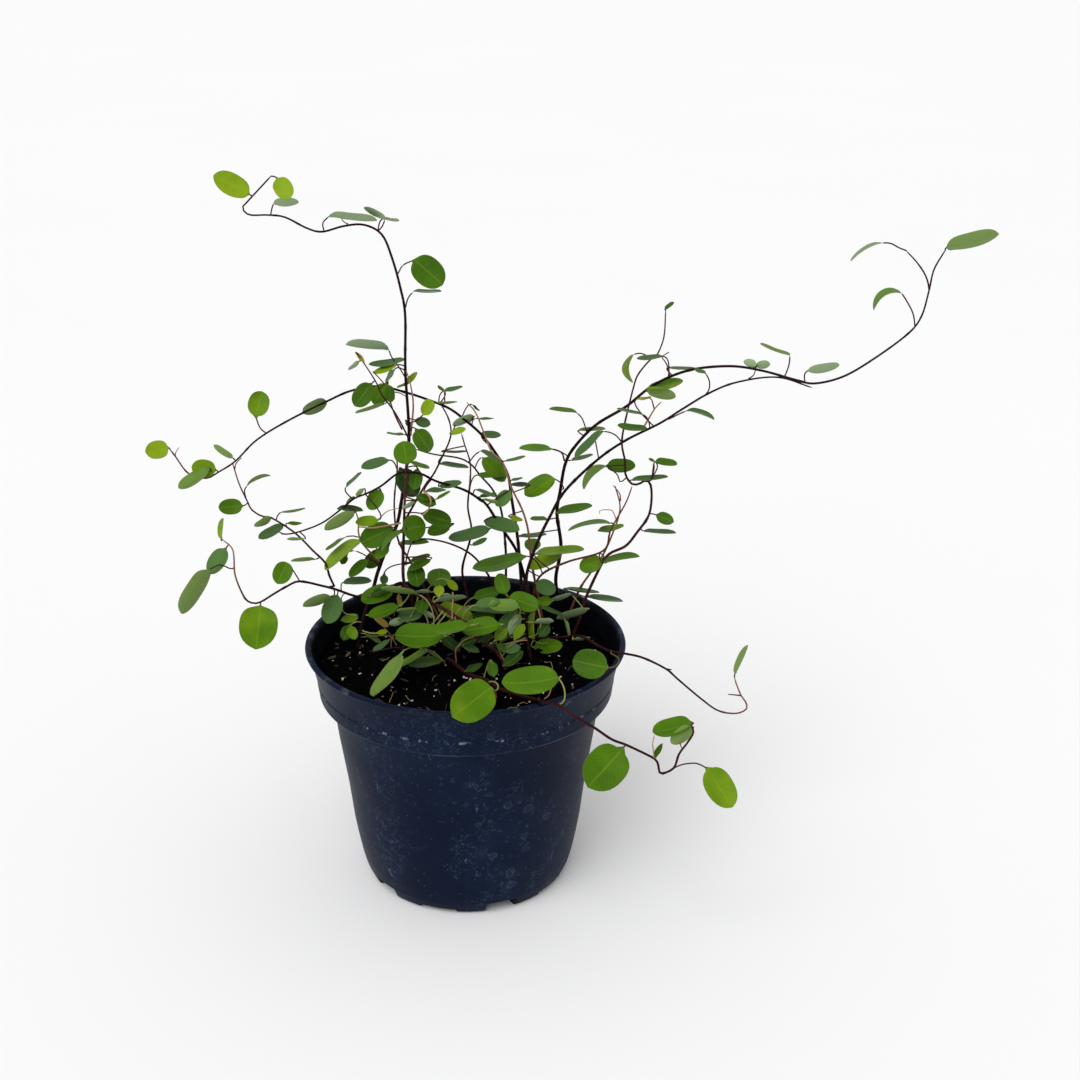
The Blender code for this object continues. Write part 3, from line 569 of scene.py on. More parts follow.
fibre_x, fibre_y = scattered(FIBRE_COUNT, FIBRE_REACH)
heading = litter_dice.uniform(0, 2 * np.pi, (FIBRE_COUNT, 1))
veer = litter_dice.uniform(-FIBRE_VEER, FIBRE_VEER, (FIBRE_COUNT, 1))
length = litter_dice.uniform(*FIBRE_LENGTHS, (FIBRE_COUNT, 1))
along = np.linspace(0, 1, FIBRE_STEPS)[None]
way = heading + veer * along
fibre_path_x = fibre_x[:, None] + np.cumsum(np.cos(way) * length / FIBRE_STEPS, axis=1)
fibre_path_y = fibre_y[:, None] + np.cumsum(np.sin(way) * length / FIBRE_STEPS, axis=1)
drawn_in = np.minimum(1, FIBRE_LIMIT / np.hypot(fibre_path_x, fibre_path_y))
fibre_path_x, fibre_path_y = fibre_path_x * drawn_in, fibre_path_y * drawn_in
hop = litter_dice.uniform(*FIBRE_HOPS, (FIBRE_COUNT, 1)) * np.sin(np.pi * along)
fibre_path_z = soil_height(fibre_path_x, fibre_path_y) + 0.05 + hop
girth = litter_dice.uniform(*FIBRE_GIRTHS, (FIBRE_COUNT, 1, 1))
ring_turn = full_turn(FIBRE_SIDES)
cross_x = fibre_path_x[..., None] + girth * np.cos(ring_turn) * -np.sin(way)[..., None]
cross_y = fibre_path_y[..., None] + girth * np.cos(ring_turn) * np.cos(way)[..., None]
cross_z = fibre_path_z[..., None] + girth * np.sin(ring_turn)
fibre_points = np.stack([cross_x, cross_y, cross_z], axis=-1).reshape(-1, 3)
per_fibre = FIBRE_STEPS * FIBRE_SIDES
fibre_faces = [face for fibre in range(FIBRE_COUNT)
               for face in sleeve_faces(FIBRE_STEPS, FIBRE_SIDES, fibre * per_fibre)]
fibre_kind = np.repeat(litter_dice.uniform(0, 1, FIBRE_COUNT), per_fibre)

root_fibre, fibre_shader, start = new_finish("root_fibre")
flecks = start.place().noise(900, 3, 0.6)
fibre_tone = start.named("kind").rise(0.1, 0.9).blend(shade(66, 46, 32), shade(186, 158, 112))
fibre_tone = (flecks * 0.5).blend(fibre_tone, shade(90, 66, 44))
plug(fibre_shader, Base_Color=fibre_tone, Roughness=0.7 + flecks * 0.2)
piece_from("root_fibres", fibre_points, fibre_faces, root_fibre, numbers={"kind": fibre_kind})

# ---- the shoots ----
# Wiry stems, dark red-brown with a waxy skin, paler and tan where they are youngest. They rise from the
# mix in a loose clump, arch over the rim and zigzag a little at each joint where a leaf sprang.

# Each shoot has the older shoot that it springs from, if it doesn't rise from the mix (parent), how far its
# bark is tan rather than dark red, over most of it and at its end (tan, end_tan), its radius at the root and
# at the tip (radii), its depths spread evenly along its length, and its route on the drawing board from
# root to tip.
SHOOTS = {
    "tall_left": dict(radii=(0.8, 0.27), depths=(10.5, 18, 24, 28, 24, 16, 10), route=[
        (-40.5, 93), (-38.7, 102), (-34.3, 115.6), (-32.1, 123.3), (-27.9, 134.5), (-24.5, 142.5),
        (-22.2, 155.2), (-19.6, 174.5), (-20.3, 200), (-19.9, 220), (-21.4, 230), (-23.9, 240),
        (-27.2, 248.2), (-33.2, 251.5), (-40.2, 251), (-47.5, 249), (-52.7, 250.2), (-60, 253.9),
        (-66, 254.6), (-72, 254.6), (-74.2, 256.9), (-72.1, 259.4), (-64, 267.7)]),
    "left_arch": dict(end_tan=0.5, radii=(0.7, 0.26), depths=(32, 44, 44, 34, 14, -4, -12), route=[
        (21.5, 103), (21, 114), (19.5, 135), (17, 153), (15.7, 161.5), (11.6, 169.3), (6.3, 176.6),
        (1.3, 181.3), (-4.9, 186.2), (-12.4, 189.4), (-19.7, 191.9), (-29.8, 194.3), (-39.8, 192.5),
        (-48.7, 188.4), (-62.3, 181.4), (-74, 174), (-82, 166), (-88.4, 161.7), (-93.2, 159.2),
        (-99.4, 161), (-103.5, 167.3), (-105.3, 170)]),
    "middle_arch": dict(radii=(0.7, 0.26), depths=(19, 24, 14, -2, -12, -20), route=[
        (25, 97), (23.2, 115.8), (21.8, 121.4), (19.8, 129), (18, 133.6), (13.3, 141), (8.3, 149.4),
        (5.6, 151.8), (-0.3, 155.6), (-10, 158.7), (-15.4, 161.5), (-20, 162), (-24.1, 161.5), (-29.7, 157),
        (-34.5, 154.2), (-40, 151.8), (-44.3, 148.1), (-52.2, 142.1), (-61.4, 138.4), (-66.2, 137.7),
        (-68, 138.7)]),
    "left_low": dict(tan=0.2, end_tan=0.95, radii=(0.65, 0.26), depths=(28, 27, 14, 0, -8, -14), route=[
        (-19.3, 101.5), (-19.4, 108), (-20.5, 114), (-22.5, 118.3), (-25.6, 118), (-30.6, 114.2),
        (-34.9, 112.8), (-40.6, 113), (-47.9, 115.7), (-53.2, 117.2), (-61.3, 118.9), (-66, 116.9),
        (-71, 113.8), (-76.8, 110.1), (-80.4, 110.4), (-82.4, 112.9), (-85, 121.3), (-85.2, 131.2),
        (-88.8, 135.4)]),
    "left_middle": dict(
        parent="left_low", tan=0.25, end_tan=0.8, radii=(0.45, 0.26), depths=(8, 12, 20, 22), route=[
        (-47.9, 115.7), (-50.1, 121), (-51.5, 126.4), (-55.6, 131), (-62.1, 138.2), (-70.3, 144),
        (-73.9, 144.7), (-77.4, 147.2), (-78.8, 150.5), (-81.3, 157), (-83.3, 165.3)]),
    "back_arch": dict(tan=0.25, radii=(0.6, 0.26), depths=(34, 40, 36, 30, 20), route=[
        (15.5, 104), (15, 118), (15, 131), (13.5, 146.7), (10.5, 155.2), (6, 160.8), (2.5, 165.3),
        (-2, 167.7), (-10.7, 169), (-17, 170.8)]),
    "tan_riser": dict(tan=0.75, radii=(0.55, 0.26), depths=(36, 28, 22, 24, 30), route=[
        (28.5, 105), (24.5, 127), (23.2, 139.5), (21, 147.8), (17, 156.6), (14, 165.7), (9.9, 170.2),
        (7.4, 176.8), (4.3, 184.8), (1.2, 188.6)]),
    "front_diagonal": dict(tan=0.35, radii=(0.9, 0.4), depths=(-8, -1, 5, 6, 2, -2), route=[
        (15, 84.3), (12.6, 89.5), (8.7, 93.2), (4.3, 96.4), (0.2, 102), (-5.6, 106.3), (-12.3, 110.8),
        (-16, 112.8), (-20.3, 115.4), (-22.7, 119), (-22.8, 129), (-22.3, 138), (-21.6, 152),
        (-20.6, 163.9)]),
    "low_arch": dict(tan=0.3, radii=(0.55, 0.26), depths=(36, 26, 14, 4), route=[
        (10, 105), (10, 118), (5, 127.3), (-1, 132.4), (-9.8, 135.6), (-18.4, 135.6), (-21.5, 128.5),
        (-21.7, 125.5)]),
    "back_riser": dict(tan=0.35, radii=(0.55, 0.26), depths=(42, 36, 27, 24), route=[
        (2, 107), (1.1, 111.9), (0, 117), (-1, 125), (2.4, 138.7), (1.2, 149), (2.2, 160), (2.1, 166.5),
        (0.4, 172.3), (-0.8, 176.9)]),
    "red_shoot": dict(parent="front_diagonal", tan=0.15, radii=(0.45, 0.26), depths=(2, 8, 16, 18), route=[
        (-22, 143), (-14.7, 156.2), (-11, 161.5), (-8, 167.7), (-4.7, 175.7), (-5.2, 182), (-8.1, 188.1)]),
    "inner_left": dict(tan=0.35, radii=(0.55, 0.26), depths=(28, 24, 15, 12), route=[
        (-9.7, 101.5), (-12.3, 109.5), (-16, 118), (-20, 127), (-24.5, 136), (-25.5, 150), (-24, 164),
        (-24.9, 170)]),
    "upper_left": dict(parent="tall_left", tan=0.3, radii=(0.34, 0.22), depths=(24, 14, 6), route=[
        (-19.7, 175), (-24, 184), (-29, 191.5), (-31, 196.3), (-36.8, 206)]),
    "right_upper": dict(radii=(0.75, 0.27), depths=(41, 40, 30, 14, -4, -18, -26), route=[
        (35.5, 107), (33.9, 115.6), (33.5, 122), (35.2, 133.6), (33.6, 146.6), (34.7, 155.5), (36.5, 166.2),
        (40.2, 173), (47.4, 180.8), (57.6, 187.4), (67.3, 195.6), (79.5, 201), (93.8, 202.6), (105.3, 201),
        (117, 197.8), (123.8, 196.5), (133.3, 198.9), (142.6, 204.6), (154.6, 214.2), (159.2, 220.7),
        (161.1, 230.2), (162.1, 237.5), (165.3, 244.2)]),
    "right_lower": dict(radii=(0.75, 0.27), depths=(-2, 8, 10, 6, 1, -2), route=[
        (24.4, 87.2), (22.6, 100), (22.7, 114), (22.8, 123), (26.5, 135), (31, 145.3), (36.5, 155.5),
        (47.7, 167.2), (57.8, 174.8), (69.8, 181.3), (77.5, 186.6), (87.1, 192.8), (96.7, 196.8),
        (110.5, 198.7), (123, 195)]),
    "right_tip": dict(parent="right_upper", tan=0.3, radii=(0.32, 0.22), depths=(-22, -16), route=[
        (161.2, 231), (159.3, 235.6), (156, 240), (152, 244)]),
    "right_hook": dict(tan=0.3, radii=(0.65, 0.25), depths=(20, 24, 16, 18, 26), route=[
        (40.3, 98), (42.6, 104.7), (44.3, 112), (48.6, 123), (52.5, 130.4), (58.9, 134), (62.9, 139.4),
        (66.8, 145.6), (67.8, 152), (67.3, 157.9), (65.5, 159.6), (62.7, 158.1), (60.2, 158.5), (58.1, 162),
        (57.8, 167.1), (56.5, 173.8), (57.5, 182), (60.2, 195), (61.7, 199.5), (65.5, 204.5), (68, 206.5),
        (70.2, 213), (70.5, 222.5)]),
    "right_low": dict(tan=0.45, radii=(0.55, 0.26), depths=(25, 16, 6, 0), route=[
        (27.5, 99.5), (26.2, 110), (25.3, 115.2), (26.7, 120.2), (30, 123.8), (38.4, 127.8), (50.8, 132.1),
        (53.3, 140.3), (58.5, 150.9), (60.6, 157.3)]),
    "right_back": dict(tan=0.6, radii=(0.55, 0.26), depths=(35, 40, 44), route=[
        (38, 104), (39.5, 109), (42.5, 117), (45.8, 122.5), (50, 129), (53.7, 138), (56.5, 148.5),
        (54.5, 157.5)]),
    "right_trailer": dict(
        tan=0.15, end_tan=0.75, radii=(0.65, 0.25), depths=(9, 13, -14, -20, -23, -26), route=[
        (11, 92.5), (14, 95), (16.1, 95.9), (21.4, 96.4), (29.2, 96.4), (35.8, 96.7), (42.8, 97.4),
        (48.9, 93.8), (52.3, 91.9), (56.2, 90.7), (59.9, 90.2), (66.7, 88.5), (75.5, 83.9), (79.9, 79.8),
        (89.1, 71.5), (95.9, 66.4), (102.5, 65.2), (106.5, 66.9), (106.5, 69.6), (104.2, 73.2),
        (102.1, 78.4), (101.5, 80.5)]),
    "front_trailer": dict(tan=0.15, radii=(0.75, 0.35), depths=(-4, -33, -59, -60, -62, -60), route=[
        (-8.3, 88), (-5.5, 86.5), (-1.4, 82.8), (3, 80.2), (7.3, 78.9), (12.6, 75), (21.5, 71.9),
        (29.5, 69.6), (34, 68.7), (36.6, 67.1), (42.4, 62.6), (49, 58.5), (55.6, 53.6), (61.1, 51.3),
        (69.4, 47), (72.7, 44.9), (73.8, 42.8), (74.5, 39.2), (75.9, 38.8), (80, 41.3), (81.7, 47.3),
        (84.6, 52.1), (86.9, 56.7), (86, 60)]),
}
STEM_STEP = 1.6
STEM_SIDES = 10
CURVE_SAMPLES = 8
DEPTH_SPACING, DEPTH_PITCH = 100.0, 5.0
ROOT_DEPTH = 2.5
TAPER = 0.95
JOINT_SPACING = 8.5
JOINT_SWELLING = 0.28
JOINT_LENGTH_SHARE = 0.2
TIP_NARROWING = 0.6
SIDE_CHOICES = 60


def placed(board, depth):
    """Points (x, z) of the drawing board, slid along their lines of sight to the planes y = depth."""
    board = np.asarray(board, float)
    on_plane = np.stack([board[..., 0], np.zeros(board.shape[:-1]), board[..., 1]], axis=-1)
    return EYE + (on_plane - EYE) * (1 - np.asarray(depth, float) / EYE[1])[..., None]


def on_board(points):
    """Where the lines of sight to points cross the drawing board."""
    share = -EYE[1] / (points[..., 1] - EYE[1])
    return EYE[[0, 2]] + (points[..., [0, 2]] - EYE[[0, 2]]) * share[..., None]


def along_length(path):
    """How far each point of a path is from its start, along the path."""
    return np.concatenate([[0], np.cumsum(np.linalg.norm(np.diff(path, axis=0), axis=1))])


def smooth_curve(knots, step):
    """Points every step or so along a Catmull-Rom curve: between two knots it is the cubic that leaves
    each of them along the line through its neighbours."""
    knots = np.asarray(knots, float)
    ends = np.concatenate([2 * knots[:1] - knots[1:2], knots, 2 * knots[-1:] - knots[-2:-1]])
    before, start, end, after = (ends[i:len(ends) - 3 + i, None] for i in range(4))
    t = np.linspace(0, 1, CURVE_SAMPLES, endpoint=False)[None, :, None]
    cubic = 2 * start + (end - before) * t + (2 * before - 5 * start + 4 * end - after) * t**2
    cubic = 0.5 * (cubic + (3 * start - before - 3 * end + after) * t**3)
    dense = np.concatenate([cubic.reshape(-1, knots.shape[1]), knots[-1:]])
    run = along_length(dense)
    places = np.linspace(0, run[-1], max(3, int(round(run[-1] / step)) + 1))
    return np.stack([np.interp(places, run, column) for column in dense.T], axis=1)


def unit(vectors):
    """Each vector over its own length."""
    return vectors / np.linalg.norm(vectors, axis=-1, keepdims=True)


def sleeve(path, radii, sides):
    """Rings of points square to a path: centre + radius (cos t side + sin t other).

    side is one fixed direction made square to the path. Of many directions spread over the globe, it is
    the one that the path runs along least.
    """
    ahead = unit(np.gradient(path, axis=0))
    turn = np.arange(SIDE_CHOICES) * np.pi * (3 - 5**0.5)
    lift = np.linspace(-0.98, 0.98, SIDE_CHOICES)
    flat = (1 - lift**2) ** 0.5
    directions = np.stack([flat * np.cos(turn), flat * np.sin(turn), lift], axis=-1)
    fixed = directions[np.abs(ahead @ directions.T).max(axis=0).argmin()]
    side = unit(fixed - (ahead @ fixed)[:, None] * ahead)
    other = np.cross(ahead, side)
    t = full_turn(sides)[None, :, None]
    spread = np.cos(t) * side[:, None] + np.sin(t) * other[:, None]
    return path[:, None] + np.asarray(radii)[:, None, None] * spread


def shoot_path(shoot):
    """The shoot's middle line: its drawn route, pushed back by its depths."""
    drawn = smooth_curve(shoot["route"], STEM_STEP)
    knots = np.stack([DEPTH_SPACING * np.arange(len(shoot["depths"])), shoot["depths"]], axis=-1)
    profile = smooth_curve(knots, DEPTH_PITCH)
    along = np.linspace(0, profile[-1, 0], len(drawn))
    return placed(drawn, np.interp(along, profile[:, 0], profile[:, 1]))


stem_bark, bark_shader, start = new_finish("stem_bark")
place = start.place()
blotch = place.noise(320, 4, 0.6)
tanned = start.named("tanned")
stem_tone = tanned.node("ShaderNodeValToRGB", {"stops": [
    (0.0, shade(22, 5, 10)), (0.35, shade(58, 22, 26)), (0.7, shade(132, 82, 64)), (1.0, shade(170, 136, 96)),
]}, {0: tanned + (blotch - 0.5) * 0.5})
cracks = place.stretched(1, 1, 0.3).noise(1400, 3, 0.6)
stem_tone = (cracks.rise(0.5, 0.75) * 0.2).blend(stem_tone, shade(104, 58, 52))
plug(bark_shader, Base_Color=stem_tone, Roughness=0.42 + cracks * 0.25, Normal=cracks.bump(0.3, 0.0002),
     Specular_IOR_Level=0.08)

shoot_paths = {}
for name, shoot in SHOOTS.items():
    path = shoot_path(shoot)
    root_radius, tip_radius = shoot["radii"]
    if "parent" in shoot:
        host = shoot_paths[shoot["parent"]]
        path[0] = host[np.linalg.norm(host - path[0], axis=1).argmin()]
    else:
        path[0, 2] = min(path[0, 2], SOIL_TOP)
        path = np.concatenate([path[:1] - [[0, 0, ROOT_DEPTH]], path])
    shoot_paths[name] = path
    run = along_length(path)
    share = run / run[-1]
    joint = np.abs((run % JOINT_SPACING) - JOINT_SPACING / 2) * 2 / JOINT_SPACING
    swelling = 1 + JOINT_SWELLING * np.clip((joint - 1 + JOINT_LENGTH_SHARE) / JOINT_LENGTH_SHARE, 0, 1) ** 2
    radii = (root_radius + (tip_radius - root_radius) * share**TAPER) * swelling
    radii[-1] *= TIP_NARROWING
    tan = shoot.get("tan", 0)
    tanned = tan + (shoot.get("end_tan", tan + 0.1) - tan) * np.clip(share * 3 - 2, 0, 1)
    points = sleeve(path, radii, STEM_SIDES)
    piece = piece_from("shoot_" + name, points.reshape(-1, 3), sleeve_faces(len(path), STEM_SIDES), stem_bark,
                       numbers={"tanned": np.repeat(tanned, STEM_SIDES)})
    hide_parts("stem_" + name)

# ---- the fine twigs ----
# Hair-thin side shoots of the same bark: tan young growth that winds beside the older stems, a few
# tendrils with no leaf left, and a dead twig or two lying on the mix.

# Each twig names the shoot it springs from, its radius, how tan it is, how much nearer the eye its end is
# than its start, and its route on the drawing board.
TWIGS = [
    ("tall_left", 0.4, 0.8, 4, [(-19, 176), (-17.8, 187), (-18.6, 195), (-20, 200)]),
    ("tall_left", 0.25, 0.5, 0, [(-38.5, 251.7), (-40.1, 252.5), (-41, 254.1)]),
    ("upper_left", 0.35, 0.5, 2, [(-22, 178.3), (-24.5, 184), (-26, 189), (-27.5, 194.5), (-31.8, 199.8)]),
    ("left_arch", 0.3, 0.7, 0, [(-25.9, 192.3), (-22.6, 191.9), (-20.4, 190.6)]),
    ("left_arch", 0.3, 0.6, 2, [(-6.6, 188.5), (-6.7, 192.7)]),
    ("red_shoot", 0.3, 0.4, 0, [(-2.9, 180.1), (-4.8, 175.7)]),
    ("right_upper", 0.35, 0.4, 3, [(36, 167), (35, 170), (31.5, 171.3)]),
    ("right_upper", 0.3, 0.4, 3, [(72.7, 198.8), (72, 201.9), (71, 204), (69.8, 205.8), (72.2, 207.5)]),
    ("right_lower", 0.35, 0.8, 4, [(64.5, 180.5), (67.7, 186.5), (70, 189.2)]),
    ("right_lower", 0.3, 0.7, 4, [(67.7, 186.5), (66.7, 190), (65.8, 190.8), (63.2, 190.6)]),
    ("right_hook", 0.3, 0.5, 2, [(67.5, 160), (68.4, 164), (68.2, 166.8)]),
    ("tall_left", 0.28, 0.85, 3, [(-34.2, 105.4), (-31.3, 101.4), (-28.4, 97.5), (-26, 92.8)]),
    ("tall_left", 0.25, 0.9, 3, [(-27, 97.5), (-28, 94.6), (-28.2, 92.1)]),
    ("front_diagonal", 0.3, 0.95, 5, [(-4.7, 115), (-4.6, 112), (-5, 108.6), (-5, 104)]),
    ("front_diagonal", 0.25, 0.9, 4, [(10.8, 97.6), (11.6, 93.6), (12.8, 90.5), (14.8, 86)]),
    ("front_diagonal", 0.25, 0.9, 4, [(13.4, 88.5), (17, 93.6), (20.5, 95.2), (23, 95.5)]),
    ("right_lower", 0.22, 0.95, 5, [(15.4, 99.5), (16.4, 102.5), (18, 105.6), (19.4, 108)]),
    ("front_diagonal", 0.35, 0.5, 2, [(-12.3, 109.5), (-10.6, 106.2), (-9.7, 102.6)]),
    ("front_diagonal", 0.4, 1.0, 2,
     [(-15, 155), (-12.8, 153), (-12.2, 150.4), (-13.4, 147.4), (-15.2, 145.6)]),
    ("inner_left", 0.4, 0.95, 3, [(-23.3, 142.4), (-29, 141.2), (-34, 140.4), (-38.8, 140.8)]),
    ("tall_left", 0.42, 0.8, 6,
     [(-31.5, 127.4), (-35, 131), (-37.9, 135), (-38.9, 139), (-38.6, 143), (-39.6, 146.6)]),
    ("middle_arch", 0.25, 0.9, 1, [(-33.5, 141.5), (-31, 144.2), (-28, 147), (-24, 148.2)]),
    ("left_middle", 0.25, 0.2, 1, [(-82.6, 162.6), (-82, 165), (-79.8, 167.2)]),
    ("left_arch", 0.2, 0.8, 0, [(-103.6, 167.4), (-103.4, 169), (-102, 170.9)]),
    ("front_trailer", 0.35, 0.8, 1, [(-2, 93.6), (-3.6, 92), (-4, 90), (-3.7, 86)]),
    ("front_trailer", 0.4, 0.0, 0, [(-35, 90), (-30.5, 91.2), (-26, 92), (-20.4, 90.9)]),
    ("front_trailer", 0.3, 0.9, 3, [(36, 80.5), (33, 77.7), (31.2, 72.4), (29.5, 70.9)]),
    ("front_trailer", 0.3, 0.6, 0, [(11, 74.2), (11.5, 70.6)]),
    ("front_trailer", 0.26, 0.95, 1, [(72.3, 44.8), (71.8, 49), (71.4, 52), (72, 55.4)]),
    ("right_back", 0.3, 0.75, 0, [(56.6, 151.6), (56.2, 154.5), (53.8, 157.6)]),
    ("right_low", 0.25, 0.95, 0, [(55, 144.8), (54.2, 147), (53.2, 148.1), (49.4, 148), (49.1, 146.6)]),
    ("front_trailer", 0.25, 0.6, 0, [(81.9, 52.2), (82.7, 49.8)]),
    ("right_lower", 0.25, 0.1, 2, [(100.5, 198), (102.3, 199.5), (103.1, 202.8)]),
    ("right_trailer", 0.3, 0.3, 0, [(75.5, 84), (77.6, 83.6)]),
    ("right_trailer", 0.3, 0.4, 0, [(104.2, 72.9), (99.4, 73.4)]),
]
TWIG_STEP = 1.2
TWIG_SIDES = 8
TWIG_CLEARANCE = 0.5
RIM_FRONT_HEIGHT = 64.0
OPEN_DEPTH = 1000.0


def nearest_on(path, board):
    """The point of a path that is drawn nearest a point of the board."""
    return path[np.linalg.norm(on_board(path) - np.asarray(board), axis=1).argmin()]


def mix_depth(board_x, board_height):
    """How far back a line of sight through that place on the board can go before it meets the mix, with no
    limit where it passes beside the pot or below the front of its rim."""
    over_mix = (np.abs(board_x) < POT_RIM_RADIUS) & (np.asarray(board_height) > RIM_FRONT_HEIGHT)
    return np.where(over_mix, EYE[1] * (1 - (EYE[2] - SOIL_TOP) / (EYE[2] - board_height)), OPEN_DEPTH)


twig_points, twig_faces, twig_tan = [], [], []
for host, radius, tanned, nearer, route in TWIGS:
    drawn = smooth_curve(route, TWIG_STEP)
    start_depth = nearest_on(shoot_paths[host], route[0])[1]
    depths = start_depth - nearer * np.linspace(0, 1, len(drawn))
    path = placed(drawn, np.minimum(depths, mix_depth(drawn[:, 0], drawn[:, 1]) - TWIG_CLEARANCE))
    rings = sleeve(path, np.linspace(radius, TIP_NARROWING * radius, len(path)), TWIG_SIDES)
    twig_faces += sleeve_faces(len(path), TWIG_SIDES, sum(len(made) for made in twig_points))
    twig_points.append(rings.reshape(-1, 3))
    twig_tan.append(np.full(len(path) * TWIG_SIDES, tanned))
piece_from("fine_twigs", np.concatenate(twig_points), twig_faces, stem_bark,
           numbers={"tanned": np.concatenate(twig_tan)})

# ---- the leaves ----
# Small leathery blades, oval to round, each on a short stalk with a tiny point at its tip. Fresh ones are
# yellow-green, older ones dark, and their undersides are pale and matt. Each grew from a joint of its shoot.

# How fresh, how much painted sheen (grey-green colour standing in for the pale sky's reflection off the
# glossy blade) and how dry each sort of blade is, and 1 if it shows its upper face or -1 if its underside.
SORTS = {
    "young": (1.0, 0.0, 0.0, 1),
    "bright": (0.68, 0.0, 0.0, 1),
    "green": (0.4, 0.0, 0.0, 1),
    "dark": (0.08, 0.05, 0.0, 1),
    "grey": (0.3, 0.7, 0.0, 1),
    "pale": (0.85, 0.12, 0.0, -1),
    "silver": (0.9, 1.0, 0.0, -1),
    "yellow": (1.0, 0.0, 0.25, 1),
    "tan": (0.6, 0.0, 0.8, 1),
}

